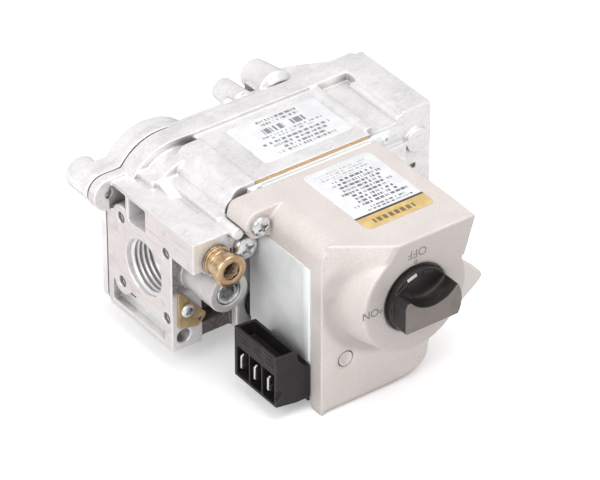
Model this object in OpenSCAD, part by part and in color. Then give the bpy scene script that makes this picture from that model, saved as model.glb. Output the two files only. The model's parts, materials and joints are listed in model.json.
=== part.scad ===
// Combination gas control valve with manual knob, two solenoid operators,
// servo regulator and pilot outlet.  Millimetres.
// Origin: centre of the inlet port on the inlet flange face.
// +X follows the gas from inlet to outlet, +Z is up, the knob faces -Y.

/* [Ports] */
// Major radius of the pipe thread in both ports
port_r = 10.6; // [9:0.1:11]
// Depth of the threaded part of each port
port_depth = 18; // [14:1:18]
// Spacing of the flange bolt holes, both ways
bolt_spacing = 26.6; // [25:0.1:28]
// Radius of the flange bolt holes
bolt_r = 2.1; // [1.5:0.1:2.4]

/* [Valve body] */
// Overall length from inlet face to outlet face
body_len = 108; // [106:1:114]
// Height of the upper rim above the port axis
body_top = 35.5; // [35.2:0.1:36]
// Height of the sunk label panel
pan_z = 33.9; // [33.5:0.1:34.5]
// Radius of the round diaphragm chamber on the seam
chamber_r = 19.5; // [19:0.1:20]
// Opening travel of the main valve
main_lift = 3.2; // [1:0.1:3.4]

/* [Control housing] */
// Left wall of the housing
hs_x0 = 26.5; // [26:0.1:27]
// Right wall of the housing
hs_x1 = 79.5; // [79:0.1:81]
// Height of the housing top face
hs_top = 34.4; // [34:0.1:35]
// Depth of the front face that carries the dial
dial_y = -80; // [-81:0.1:-79]

/* [Knob] */
// Position of the knob axis along the valve
knob_x = 54.8; // [54:0.1:56]
// Height of the knob axis
knob_z = 11.2; // [10.5:0.1:12.5]
// Radius of the knob skirt
knob_r = 12.2; // [11.6:0.1:13.2]
// How far the grip stands in front of the dial
knob_proud = 9.4; // [9:0.1:12]
// Knob shaft radius
shaft_r = 3; // [2.8:0.05:3.1]

/* [Pilot outlet] */
// Bore for the pilot tube
pilot_bore_r = 3.25; // [3:0.05:3.4]

/* [Hidden] */
$fn = 64;

cast = "#c9c7cb"; cast_pink = "#d2cbcb"; beige = "#cfc7c1"; zinc = "#cdd6d8"; blackp = "#2a2727";
brass = "#b08a55"; steel = "#bfc3c6"; rubber = "#26262a"; tan_g = "#c79a6a"; coilc = "#8a4a2c";

half_b = bolt_spacing / 2;
seam_y = 22;                    // seam between body and rear cover
front_y = -20.4;                // body face that carries the control side
ch_x = 22.5; ch_z = 16;         // centre of the diaphragm chamber
pl_x = 11.5; pl_z = 4.4;        // inlet pressure tap
pf_x = 8.9; pf_z = 17.1;        // pilot outlet
pa_x = 21.2; pa_z = 16.8;       // pilot adjuster
ear_x = 22.3; ear_z = 29;       // housing ear, upper left
ear2_x = 84; ear2_z = -14.5;    // housing ear, lower right
gnd_x = 5.6; gnd_z = -9.7;       // ground screw
p1 = [42, 20]; p2 = [62.5, -8];  // solenoid axes, as [x, z]
rg = [37, -15.3];               // regulator axis
grip_y = dial_y - knob_proud;
// rear cover screws, as [x, z, head seat, shank end]
cover_screws = [[-1.3, 20.5, 26, 18.8], [44, 29, 25.5, 11], [102, 27, 25.5, 11], [102, -19, 25.5, 11], [55, -19, 25.5, 11], [5, -19, 25.5, 11]];
plate_screws = [[33, 30.4], [76.5, 30.4], [31.5, 5], [76.5, 8], [52, -19.5]];

module box(x0, x1, y0, y1, z0, z1) translate([x0, y0, z0]) cube([x1 - x0, y1 - y0, z1 - z0]);
module ycyl(x, z, y0, y1, r) translate([x, y0, z]) rotate([-90, 0, 0]) cylinder(r = r, h = y1 - y0);
module ycone(x, z, y0, y1, r0, r1) translate([x, y0, z]) rotate([-90, 0, 0]) cylinder(r1 = r0, r2 = r1, h = y1 - y0);
module xcyl(y, z, x0, x1, r) translate([x0, y, z]) rotate([0, 90, 0]) cylinder(r = r, h = x1 - x0);
module zcyl(x, y, z0, z1, r) translate([x, y, z0]) cylinder(r = r, h = z1 - z0);
module ytube(x, z, y0, y1, ro, ri) difference() { ycyl(x, z, y0, y1, ro); ycyl(x, z, y0 - 1, y1 + 1, ri); }
module yext(y0, y1) translate([0, y1, 0]) rotate([90, 0, 0]) linear_extrude(y1 - y0) children();
module xext(x0, x1) translate([x0, 0, 0]) rotate([90, 0, 90]) linear_extrude(x1 - x0) children();
module sq(a0, a1, b0, b1) translate([a0, b0]) square([a1 - a0, b1 - b0]);
module rrect(a0, a1, b0, b1, r) {
    sq(a0 + r, a1 - r, b0, b1);
    sq(a0, a1, b0 + r, b1 - r);
    for (a = [a0 + r, a1 - r], b = [b0 + r, b1 - r]) translate([a, b]) circle(r);
}
// torus around the Y axis through (x, z)
module yring(x, z, y, rm, rs) translate([x, y, z]) rotate([90, 0, 0]) rotate_extrude() translate([rm, 0]) circle(rs, $fn = 24);

// helical spring along Y between y0 and y1, wire radius w, mean radius rm, n turns
module yspring(x, z, y0, y1, rm, w, n) {
    k = 14 * n; m = 6;
    pts = [for (i = [0:k]) let (a = 360 * n * i / k, y = y0 + w + (y1 - y0 - 2 * w) * i / k)
        for (j = [0:m - 1]) let (b = 60 * j)
            [(rm + w * cos(b)) * cos(a), y + w * sin(b), (rm + w * cos(b)) * sin(a)]];
    faces = concat([[for (j = [0:m - 1]) j]], [[for (j = [m - 1:-1:0]) k * m + j]],
        [for (i = [0:k - 1], j = [0:m - 1]) let (q = (j + 1) % m) [i * m + j, (i + 1) * m + j, (i + 1) * m + q, i * m + q]]);
    translate([x, 0, z]) polyhedron(pts, faces);
}
// slotted or crossed pan head screw along Y, head towards -Y (dir = -1) or +Y (dir = 1)
module pan_screw(x, z, y, rh, hh, rs, len, dir = -1, cross = true) {
    y0 = dir < 0 ? y - hh : y; y1 = dir < 0 ? y : y + hh;
    difference() {
        union() {
            intersection() {
                ycyl(x, z, y0, y1, rh);
                translate([x, dir < 0 ? y0 + 2.2 * rh : y1 - 2.2 * rh, z]) sphere(2.2 * rh, $fn = 48);
            }
            if (dir < 0) ycyl(x, z, y, y + len, rs); else ycyl(x, z, y - len, y, rs);
        }
        yc = dir < 0 ? y0 : y1;
        box(x - rh * 0.5, x + rh * 0.5, yc - hh * 0.55, yc + hh * 0.55, z - rh * 0.11, z + rh * 0.11);
        if (cross) box(x - rh * 0.11, x + rh * 0.11, yc - hh * 0.55, yc + hh * 0.55, z - rh * 0.5, z + rh * 0.5);
    }
}

module lug2d() {
    translate([-1.3, 20.5]) circle(6.2);
    sq(-1.3, 8, 14.3, 26.7);
}
module rim2d(top, lug = true) {
    translate([ch_x, ch_z]) circle(chamber_r);
    sq(ch_x, body_len - 4, -26, top);
    rrect(body_len - 20, body_len, -26, top, 3);
    rrect(0, 30, -26, ch_z, 3);
    sq(3, 10, 0, ch_z);
    if (lug) lug2d();
}
module flange_bolts(xa, xb, r) for (y = [-half_b, half_b], z = [-half_b, half_b]) xcyl(y, z, xa, xb, r);
module pocket2d(lo) difference() {
    if (lo) sq(-12, 19, -23.6, -15); else sq(-1.5, 19, 14.5, 23.6);
    for (s = [-1, 1], t = [-1, 1]) translate([s * half_b, t * half_b]) circle(4.9);
    circle(15);
    sq(8.8, 10.4, 13, 26);
}
// upper pocket from xa to xb, lower pocket from xa to xc (or xb)
module flange_pockets(xa, xb, xc) {
    xext(xa, xb) pocket2d(false);
    xext(xa, min(xb, xc)) pocket2d(true);
}
module valve_body() color(cast) difference() {
    union() {
        yext(14, seam_y) rim2d(body_top, false);
        yext(18, seam_y) lug2d();
        // core under the channels, label panel and outlet gutter
        box(8, 96, -9, 14.5, -24, 24);
        box(24, 96, front_y, -8, -24, 24);
        box(12, 25, -16.2, -8, -24, -18.6);
        box(8, 25, front_y, -8, 10, 24);
        box(31, 80.4, front_y, 14.5, 20, pan_z);
        // rounded ridge left of the label panel
        yext(-22.2, 10) union() { rrect(21, 31, 18, 35.4, 4); sq(26, 31, 30, 35.4); }
        ycyl(ear_x - 0.4, ear_z - 0.6, -22.2, 6, 3.6);
        box(31, 80, front_y, -19.4, 30, 33.9);
        // channel shoulder behind the pilot bar
        yext(5.5, 14.5) union() { sq(8, 31, 10, 28.5); translate([22, 18]) circle(14.5); }
        xext(10, 24) polygon([[14, 28.5], [6, 28.5], [-3, 25.6], [-3, 18], [14, 18]]);
        // pilot gas bar and its nose
        yext(-24, 6) rrect(13.8, 18.4, 20, 28, 0.8);
        ycyl(16.3, 25.6, -33, -23, 2.4);
        box(14.6, 18.2, -29, front_y + 1, 18, 25.6);
        // valley floors on both sides of the bar
        yext(-22, 7) polygon([[18, 18], [18, 25.4], [19.4, 25.8], [21.4, 28.4], [24, 30], [24, 18]]);
        box(12, 14.4, -16, 6, 10, 25.2);
        // ridge and strip right of the panel
        box(80, 83, -18, 14.5, 20, 34.9);
        box(83, 96, -18, 14.5, 20, 32);
        yext(-18, 9) translate([94.6, 33]) circle(1.6);
        // inlet flange and the block that carries the pilot outlet
        xext(0, 12.5) union() { rrect(-16.5, seam_y, -26, 25.5, 3); sq(-16.5, 0, 0, 25.5); sq(6, seam_y, 10, 25.5); sq(-16.5, 0, -26, -20); }
        box(0, 14.4, -29.7, -15, 13.6, 25.5);
        ycyl(pf_x, pf_z, -29.7, -15, 6.2);
        // inlet pressure tap boss
        ycyl(pl_x, pl_z, -34, -8, 7.6);
        // pilot adjuster boss
        ycyl(pa_x, pa_z, -29, -8, 5);
        // outlet flange
        xext(body_len - 12, body_len) union() { rrect(-18, seam_y, -26, body_top, 2); sq(-18, 0, 0, body_top); sq(6, seam_y, -10, body_top); }
        ycyl(101.4, 22.9, -19.8, -17, 4.7);
        ycyl(102, 0, -19.6, -17, 6);
            }
    // inlet and outlet ports with their chambers
    xcyl(0, 0, -1, port_depth, port_r);
    xcyl(0, 0, port_depth - 0.01, 58, 8.6);
    xcyl(0, 0, body_len - port_depth, body_len + 1, port_r);
    xcyl(0, 0, 66, body_len - port_depth + 0.01, 8.6);
    xcyl(0, 0, port_depth - 0.01, port_depth + 1.2, port_r - 0.6);
    flange_bolts(-1, 10, bolt_r);
    flange_bolts(body_len - 10, body_len + 1, bolt_r + 0.3);
    flange_pockets(-1, 9, 3.6);
    flange_pockets(body_len - 9, body_len + 1, body_len + 1);
    // main valve: riser, seat, chamber, outlet gallery
    zcyl(ch_x, 3, 0, ch_z, 6);
    ycyl(ch_x, ch_z, 1, 14.1, 6.5);
    ycyl(ch_x, ch_z, 14, seam_y + 1, 16.2);
    ycyl(ch_x, ch_z, 21.2, seam_y + 1, 18.3);
    box(33, 38, 7, 20, 6, 13);
    box(33, 76, 7, 12.5, 4, 12);
    // manual valve recess and its port into the inlet chamber
    ycyl(knob_x, knob_z, front_y - 1, -15, 8.06);
    ycyl(knob_x - 5, knob_z - 4, -16, -4, 2.6);
    // gas ways behind the two solenoid seats and the regulator
    ycyl(p1[0], p1[1], front_y - 1, -8, 1.8);
    ycyl(p2[0], p2[1], front_y - 1, -8, 1.8);
    ycyl(rg[0], rg[1], front_y - 1, -14, 4.5);
    ycyl(rg[0], rg[1], front_y - 1, front_y + 1.0, 9);
    // pilot outlet, pilot adjuster and pressure taps
    ycyl(pf_x, pf_z, -30, -17.2, 3.6);
    ycyl(pa_x, pa_z, -30, -19, 3.55);
    ycyl(pa_x, pa_z, -20, -8, 1.4);
    ycyl(pl_x, pl_z, -35, -24, 4.8);
    ycyl(pl_x, pl_z, -25, -8, 0.8);
    ycyl(102, 0, -20, -12, 3.2);
    ycyl(102, 0, -13, -9, 0.8);
    box(99.2, 101.8, -19, -16.4, 10.6, 12.6);
    // screw holes
    for (s = cover_screws) ycyl(s[0], s[1], s[3] - 0.6, seam_y + 1, 1.7);
    for (s = plate_screws) ycyl(s[0], s[1], front_y - 1, -12, 1.4);
    ycyl(ear_x, ear_z, -24, -9, 1.9);
    ycyl(ear2_x, ear2_z, -24, -9, 1.9);
    ycyl(gnd_x, gnd_z, -17, -9.6, 1.2);
    ycyl(4.8, -20.8, -17, -9, 2.7);
}

module boss_cone(x, z, y1, r0, r1) ycone(x, z, 25, y1, r0, r1);
module rear_cover() color(cast) difference() {
    union() {
        yext(seam_y + 0.5, 25.5) difference() { rim2d(33.9); sq(-20, 0, -30, 10); }
        ycyl(ch_x, ch_z, seam_y + 0.5, 30.6, chamber_r - 0.2);
        ycone(ch_x, ch_z, 30.6, 31.4, chamber_r - 0.2, chamber_r - 1);
        ycyl(-1.3, 20.5, seam_y + 0.5, 36, 6);
        box(-1.3, 8, seam_y + 0.5, 31, 15, 26.4);
        boss_cone(73.2, 31.1, 39, 7.3, 5.3);
        ycone(73.2, 31.1, 22.6, 25.1, 4.6, 7.3);
        boss_cone(59.4, 30.2, 38, 5, 4.1);
        boss_cone(53.2, 32.4, 27.5, 2.4, 2.2);
        box(65.6, 66.4, 25, 33, 20, 33);
        translate([0, 0, 33]) linear_extrude(0.8) polygon([[77, 25], [77, 32], [83, 31.2], [97.5, 25]]);
        box(50, 96, 25, 28, -2, 0);
        box(50, 96, 25, 28, 14, 16);
        box(88, 90, 25, 28, -20, 20);
    }
    ycyl(ch_x, ch_z, seam_y, 28.8, 15.8);
    for (s = cover_screws) { ycyl(s[0], s[1], seam_y, 37, 1.7); ycyl(s[0], s[1], s[2], 45, 3.4); }
    ycyl(73.2, 31.1, 33, 40, 3.2);
    ycyl(59.4, 30.2, 30, 40, 2);
}
module rear_gasket() color("#55504c") yext(seam_y, seam_y + 0.5) difference() {
    intersection() { rim2d(33.8); union() { translate([ch_x, ch_z]) circle(chamber_r - 0.3); sq(ch_x, body_len - 0.4, -25.6, 33.8); sq(0.4, 30, -25.6, ch_z); translate([-1.3, 20.5]) circle(5.9); sq(-1.3, 8, 14.6, 26.4); } }
    translate([ch_x, ch_z]) circle(15.8);
    for (s = cover_screws) translate([s[0], s[1]]) circle(1.7);
}
module rear_cover_screws() color(steel) for (s = cover_screws) pan_screw(s[0], s[1], s[2], 3.1, 2.2, 1.6, s[2] - s[3], 1);

module main_diaphragm() color(rubber) difference() {
    ytube(ch_x, ch_z, 21.2, seam_y, 18.3, 2);
    difference() { ycyl(ch_x, ch_z, 21, 21.5, 15.2); ycyl(ch_x, ch_z, 20, 23, 11.5); }
}
module diaphragm_plate() color(steel) ytube(ch_x, ch_z, seam_y, 22.8, 11, 2);
module main_valve_stem() color(steel) { ycyl(ch_x, ch_z, 11, 24.6, 2); ycyl(ch_x, ch_z, 20.4, 21.2, 4); ycyl(ch_x, ch_z, 11, 14 - 0.4, 3.2); }
module main_valve_disc() color(rubber) ytube(ch_x, ch_z, 14, 16.2, 8.2, 2);
module main_valve_spring() color(steel) yspring(ch_x, ch_z, 22.8, 28.8, 7, 0.55, 3);

module control_gasket() color(tan_g) yext(-22.2, front_y) difference() {
    rrect(31.2, 79.8, -22.5, 33.9, 1.5);
    for (p = [p1, p2]) translate(p) circle(5);
    translate([knob_x, knob_z]) circle(5);
    translate(rg) circle(9);
    for (s = plate_screws) translate(s) circle(1.6);
}
module control_plate() color(zinc) difference() {
    union() {
        yext(-23.8, -22.2) union() { rrect(29.8, 81.4, -23, 33.9, 2); sq(27.4, 32, 31, 33.9); sq(79, 86.4, 31, 34.4); }
        for (x = [29.4, 84]) ycyl(x, 32.4, -24.8, -23.7, 1.5);
    }
    for (p = [p1, p2]) ycyl(p[0], p[1], -30, -20, 5);
    ycyl(knob_x, knob_z, -30, -20, 5);
    ycyl(rg[0], rg[1], -30, -20, 5.6);
    for (s = plate_screws) ycyl(s[0], s[1], -30, -20, 1.6);
    for (x = [29.4, 84]) ycyl(x, 32.4, -26, -20, 0.8);
    box(32.5, 78, -25, -23, 33, 36);
}
module control_plate_screws() color(steel) for (s = plate_screws) pan_screw(s[0], s[1], -23.8, 2.4, 1, 1.35, 11);

module cap2d() polygon([[hs_x0, -34.5], [58, -34.5], [64, -33.9], [68, -32.4], [71, -30], [72.3, -27], [72.4, -24], [72.8, -21.4],
    [93, -5.8], [94, -4.2], [93.6, -2.6], [84, 6], [hs_x1, 12], [hs_x1, hs_top], [33.5, hs_top],
    for (a = [100:10:170]) [33.5 + 7 * cos(a), hs_top - 7 + 7 * sin(a)], [hs_x0, hs_top - 7]]);
module box2d() {
    polygon([[hs_x0, -30], [72.2, -30], [72.2, -21.9], [hs_x1, -16.2], [hs_x1, hs_top - 7], [hs_x0, hs_top - 7]]);
    sq(33.5, hs_x1, 0, hs_top);
    translate([33.5, hs_top - 7]) circle(7);
}
module control_housing() color(beige) difference() {
    union() {
        yext(-60.5, -24.9) box2d();
        yext(-66, -60) cap2d();
        // dial boss, flat at the top, with a flare up to the top face
        intersection() {
            ycone(knob_x, knob_z, dial_y, -65.9, 20.8, 24.2);
            box(20, 90, dial_y, -60, -20, hs_top);
        }
        hull() {
            box(hs_x0 + 1.5, hs_x1, -66, -65.9, 12, hs_top);
            box(48, hs_x1 - 0.3, dial_y, dial_y + 0.05, 33.6, hs_top);
            box(44, 75, dial_y, dial_y + 0.05, 20, 29);
        }
        // ear at the upper left and at the lower right
        ycyl(ear_x, ear_z, -36.4, -24.9, 5.4);
        ycyl(ear_x, ear_z, -25, -22.2, 3);
        box(ear_x, hs_x0 + 8, -36.4, -24.9, 23.6, hs_top);
        ycyl(ear2_x, ear2_z, -36.4, -24.9, 4.2);
        ycyl(ear2_x, ear2_z, -25, front_y, 2.55);
        box(hs_x1 - 1, ear2_x, -36.4, -24.9, ear2_z - 4.2, ear2_z + 4.2);
    }
    // inside of the shell
    yext(-64, -24) polygon([[hs_x0 + 2, -28], [70.2, -28], [70.2, -20.9], [hs_x1 - 2, -15.1], [hs_x1 - 2, 24], [hs_x0 + 2, 24]]);
    box(hs_x0 + 8, hs_x1 - 2, -64, -24, 0, hs_top - 2);
    ycyl(33.8, hs_top - 7.3, -64, -24, 5.2);
    intersection() { ycyl(knob_x, knob_z, -74.6, -63, 18); box(30, 78, -76, -60, -10, hs_top - 2.4); }
    // dial recess and hub hole
    ycyl(knob_x, knob_z, dial_y - 1, dial_y + 2.1, knob_r + 0.5);
    ycyl(knob_x, knob_z, dial_y - 1, -70, 5.6);
    // window for the side plate, slot for the tabs
    box(hs_x0 - 1, hs_x0 + 2.1, -59.6, -24, -16.4, 22);
    box(hs_x0 - 1, hs_x0 + 2.1, -57.6, -37.8, -25, -17.2);
    // access hole of the regulator adjuster
    ycyl(rg[0], rg[1], -67, -63, 2.8);
    ycyl(ear_x, ear_z, -40, -20, 2.1);
    ycyl(ear2_x, ear2_z, -40, -20, 2.1);
    // clearance round the nose of the pilot bar
    ycyl(16.3, 25.6, -37, -22.9, 2.6);
}
module housing_screws() color(steel) { pan_screw(ear_x, ear_z, -36.4, 3.6, 2.6, 1.85, 25.5); pan_screw(ear2_x, ear2_z, -36.4, 3.6, 2.6, 1.85, 25.5); }
module side_plate() color(zinc) {
    box(hs_x0 - 0.2, hs_x0 + 0.8, -59.6, -25.1, -16.4, 22);
    xext(hs_x0 - 0.5, hs_x0 - 0.2) rrect(-59.2, -55.6, -16.2, 21.8, 1.2);
}
module terminal_block() color(blackp) difference() {
    union() {
        yext(-60, -36.2) polygon([[12, -28.3], [12, -8], [20.7, -8.7], [21, -12.2], [23.4, -15.5], [24.8, -16.5], [hs_x0 - 0.5, -16.5], [hs_x0 - 0.5, -29.6], [20, -29.6]]);
        box(hs_x0 - 1.4, hs_x0 - 0.5, -60, -36.2, -31, -16.5);
    }
    // three cells
    for (i = [0:2]) box(11, 20.5, -58.9 + 7.3 * i, -58.9 + 7.3 * i + 6.8, -27.3, -15.6);
    box(13, 19.6, -59, -37.2, -14.2, -7);
    for (i = [0:2]) box(15, 30, -55.9 + 7.7 * i, -55.1 + 7.7 * i, -24.2, -17.85);
    ycyl(12.6, -23.6, -61, -59.2, 2.2);
}
module terminal_tabs() color("#d8d8d4") for (i = [0:2]) yext(-55.9 + 7.7 * i, -55.1 + 7.7 * i)
    polygon([[11.8, -23.4], [11.8, -18.65], [12.9, -17.85], [30, -17.85], [30, -24.2], [12.9, -24.2]]);

module sol_frame(p, s) {
    difference() {
        union() {
            box(p[0] - 9, p[0] + 9, -27.2, -25.8, p[1] - 9, p[1] + 9);
            box(p[0] - 9, p[0] + 9, -60, -58.6, p[1] - 9, p[1] + 9);
            box(p[0] - 9, p[0] + 9, -60, -25.8, p[1] + (s > 0 ? 9.7 : -11), p[1] + (s > 0 ? 11 : -9.7));
            box(p[0] - 9, p[0] + 9, -27.2, -25.8, p[1] + (s > 0 ? 8 : -11), p[1] + (s > 0 ? 11 : -8));
            box(p[0] - 9, p[0] + 9, -60, -58.6, p[1] + (s > 0 ? 8 : -11), p[1] + (s > 0 ? 11 : -8));
        }
        ycyl(p[0], p[1], -28, -25, 4.05);
        ycyl(p[0], p[1], -61, -58, 4.05);
    }
    for (y = [-26]) ytube(p[0], p[1], -25.8, -23.8, 6.4, 4.6);
}
module solenoid_frames() color(zinc) { sol_frame(p1, 1); sol_frame(p2, -1); }
module solenoid_bobbins() color("#3b3a3a") for (p = [p1, p2]) difference() {
    union() { ycyl(p[0], p[1], -58.6, -27.2, 5.2); ycyl(p[0], p[1], -58.6, -57.4, 9.6); ycyl(p[0], p[1], -28.4, -27.2, 9.6); }
    ycyl(p[0], p[1], -60, -26, 4.05);
}
module solenoid_windings() color(coilc) for (p = [p1, p2]) ytube(p[0], p[1], -57.4, -28.4, 9.3, 5.2);
module solenoid_cores() color(steel) for (p = [p1, p2]) { ycyl(p[0], p[1], -60, -49.2, 4.05); ycyl(p[0], p[1], -61.2, -60, 5.4); }
module plunger(p) difference() { ycyl(p[0], p[1], -47, -21.8, 4); ycyl(p[0], p[1], -48, -37, 2.4); }
module first_plunger() color(steel) plunger(p1);
module second_plunger() color(steel) plunger(p2);
module first_seat_disc() color(rubber) ycyl(p1[0], p1[1], -21.8, front_y, 3.4);
module second_seat_disc() color(rubber) ycyl(p2[0], p2[1], -21.8, front_y, 3.4);
module first_plunger_spring() color(steel) yspring(p1[0], p1[1], -49.2, -37, 1.9, 0.35, 8);
module second_plunger_spring() color(steel) yspring(p2[0], p2[1], -49.2, -37, 1.9, 0.35, 8);

module knob() color(blackp) difference() {
    union() {
        ycyl(knob_x, knob_z, dial_y - 2.4, dial_y + 0.4, knob_r);
        ycyl(knob_x, knob_z, dial_y + 0.3, -76, 5.2);
        // grip bar with scooped sides
        difference() {
            intersection() {
                ycyl(knob_x, knob_z, grip_y, dial_y - 2.3, knob_r);
                box(knob_x - 11.3, knob_x + 20, grip_y - 1, dial_y, knob_z - 5.8, knob_z + 6.4);
            }
            ycyl(knob_x + 0.6, knob_z + 13.7, grip_y - 5, dial_y - 2.4, 12);
            // small relief facets at the foot of the grip
            box(knob_x - 12, knob_x - 8.6, dial_y - 3.6, dial_y - 2.4, knob_z - 7, knob_z - 4.6);
        }
    }
    difference() {
        ycyl(knob_x, knob_z, dial_y - 2.2, -75, shaft_r + 0.05);
        box(knob_x - 5, knob_x + 5, grip_y, -74, knob_z + 2.25, knob_z + 5);
    }
}
module knob_shaft() color(steel) difference() {
    ycyl(knob_x, knob_z, dial_y - 0.4, -15.4, shaft_r);
    box(knob_x - 5, knob_x + 5, -87, -71, knob_z + 2.2, knob_z + 5);
    ytube(knob_x, knob_z, -68.8, -68, 5, 2.4);
}
module manual_valve_rotor() color("#b9a27a") difference() {
    ytube(knob_x, knob_z, -20, -15.1, 8, shaft_r);
    // gas hole, a quarter turn away from the body port when the valve is off
    ycyl(knob_x - 4, knob_z + 5, -21, -14, 2);
}
module knob_spring() color(steel) yspring(knob_x, knob_z, -76, -68.8, 4.1, 0.45, 4);
module knob_spring_clip() color(steel) ytube(knob_x, knob_z, -68.8, -68, 4.9, 2.4);
module shaft_bushing() color(brass) difference() {
    union() { ycyl(knob_x, knob_z, -25, -21, 4.98); ycyl(knob_x, knob_z, -25.7, -23.8, 6.6); }
    ycyl(knob_x, knob_z, -28, -20, shaft_r + 0.05);
    ycyl(knob_x, knob_z, -27, -24, 4.7);
}
module shaft_oring() color(rubber) yring(knob_x, knob_z, -24.86, 3.88, 0.82);

module regulator_sleeve() color(cast) difference() {
    union() { ycyl(rg[0], rg[1], -60, -23.8, 6.2); ycyl(rg[0], rg[1], -25.4, -23.8, 8.4); }
    ycyl(rg[0], rg[1], -61, -25.4, 4.45);
    ycyl(rg[0], rg[1], -25.5, -23, 4.8);
}
module regulator_adjusting_screw() color(brass) difference() {
    ycyl(rg[0], rg[1], -56, -49, 4.4);
    box(rg[0] - 3.4, rg[0] + 3.4, -57, -54.6, rg[1] - 0.5, rg[1] + 0.5);
    ycyl(rg[0], rg[1], -50, -48, 1.5);
}
module regulator_upper_seat() color(steel) { ycyl(rg[0], rg[1], -49, -47.8, 4.2); ycyl(rg[0], rg[1], -50, -49, 1.45); ycyl(rg[0], rg[1], -47.8, -46, 2); }
module regulator_spring() color(steel) yspring(rg[0], rg[1], -47.8, -26.6, 3.1, 0.45, 7);
module regulator_poppet() color(steel) { ycyl(rg[0], rg[1], -26.6, -21.4, 4); ycyl(rg[0], rg[1], -28.5, -26.6, 2.2); }
module regulator_diaphragm() color(rubber) ycyl(rg[0], rg[1], -21.4, front_y, 8.9);
module regulator_cap() color(beige) difference() {
    ycyl(rg[0], rg[1], -65.4, -63, 2.75);
    translate([rg[0], -67.4, rg[1]]) sphere(2.9, $fn = 48);
}

module pilot_fitting() color(brass) difference() {
    union() { ycyl(pf_x, pf_z, -31.6, -29.7, 5.3); ycyl(pf_x, pf_z, -33.4, -31.6, 4.7); ycyl(pf_x, pf_z, -29.7, -18, 3.55); }
    ycyl(pf_x, pf_z, -32, -16, 2.2);
    ycyl(pf_x, pf_z, -34, -31, pilot_bore_r);
}
module pilot_nut() color(brass) difference() {
    union() {
        ycyl(pf_x, pf_z, -35.4, -33.4, 4.9);
        ycone(pf_x, pf_z, -36.4, -35.4, 6, 4.9);
        ycyl(pf_x, pf_z, -39.4, -36.4, 6);
    }
    ycyl(pf_x, pf_z, -41, -33, pilot_bore_r);
    ycone(pf_x, pf_z, -34.6, -33.3, pilot_bore_r, 4.4);
}
module pilot_ferrule() color(brass) difference() {
    ycone(pf_x, pf_z, -34.5, -33.4, pilot_bore_r + 0.05, 4.22);
    ycyl(pf_x, pf_z, -36, -33, pilot_bore_r);
}
module pilot_adjust_cap() color(steel) pan_screw(pa_x, pa_z, -29, 4.5, 2.8, 3.5, 3);
module pilot_adjust_screw() color(brass) difference() {
    union() { ycyl(pa_x, pa_z, -25.2, -20.6, 2.9); ycyl(pa_x, pa_z, -20.7, -14, 1.3); ycyl(pa_x, pa_z, -25.2, -24, 3.5); }
    box(pa_x - 2.4, pa_x + 2.4, -26, -24.4, pa_z - 0.35, pa_z + 0.35);
    ytube(pa_x, pa_z, -23.2, -21.8, 3.2, 2.4);
}
module pilot_needle_oring() color(rubber) yring(pa_x, pa_z, -22.5, 2.97, 0.54);

module inlet_tap_plug() color(steel) difference() {
    union() { ycyl(pl_x, pl_z, -33.6, -24.6, 4.75); ycone(pl_x, pl_z, -34.2, -33.6, 4.3, 4.75); }
    translate([pl_x, -32.2, pl_z]) rotate([90, 30, 0]) cylinder(r = 2.75, h = 4, $fn = 6);
}
module outlet_tap_plug() color(steel) difference() {
    ycyl(102, 0, -19.6, -12, 3.15);
    translate([102, -17.6, 0]) rotate([90, 30, 0]) cylinder(r = 1.9, h = 4, $fn = 6);
}
module ground_plate() color("#9a7a4c") difference() {
    yext(-17.3, -16.5) union() { polygon([[2.4, -2.4], [3.4, -2.2], [13.4, -14], [13.2, -15.4], [10.4, -18.4], [4.6, -17.2], [2.4, -16.4]]); }
    ycyl(gnd_x, gnd_z, -18, -16, 1.3);
    ycyl(11, -15.6, -18, -16, 0.7);
}
module ground_screw() color(steel) pan_screw(gnd_x, gnd_z, -17.3, 2.6, 1.9, 1.15, 7.3);
module inlet_screen() color(steel) difference() {
    xcyl(0, 0, port_depth + 0.1, port_depth + 0.8, port_r - 0.7);
    for (i = [-2:2], j = [-2:2]) if (i * i + j * j < 5) translate([port_depth, i * 3.4 - 1.3, j * 3.4 - 1.3]) cube([2, 2.6, 2.6]);
}
module rating_label() color("white") translate([0, 0, pan_z]) linear_extrude(0.15) rrect(41, 78, -14.3, 10.2, 2);
module safety_label() color("#f2e6b0") translate([0, 0, hs_top]) linear_extrude(0.15) rrect(45, 73, -66.6, -28.8, 2.4);

valve_body();
rear_cover();
rear_gasket();
rear_cover_screws();
main_diaphragm();
diaphragm_plate();
main_valve_stem();
main_valve_disc();
main_valve_spring();
control_gasket();
control_plate();
control_plate_screws();
control_housing();
housing_screws();
side_plate();
terminal_block();
terminal_tabs();
solenoid_frames();
solenoid_bobbins();
solenoid_windings();
solenoid_cores();
first_plunger();
second_plunger();
first_seat_disc();
second_seat_disc();
first_plunger_spring();
second_plunger_spring();
knob();
knob_shaft();
manual_valve_rotor();
knob_spring();
knob_spring_clip();
shaft_bushing();
shaft_oring();
regulator_sleeve();
regulator_adjusting_screw();
regulator_upper_seat();
regulator_spring();
regulator_poppet();
regulator_diaphragm();
regulator_cap();
pilot_fitting();
pilot_nut();
pilot_ferrule();
pilot_adjust_cap();
pilot_adjust_screw();
pilot_needle_oring();
inlet_tap_plug();
outlet_tap_plug();
ground_plate();
ground_screw();
inlet_screen();
rating_label();
safety_label();
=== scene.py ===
import bpy, bmesh, json, math
import numpy as np
from mathutils import Vector, Matrix


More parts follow.
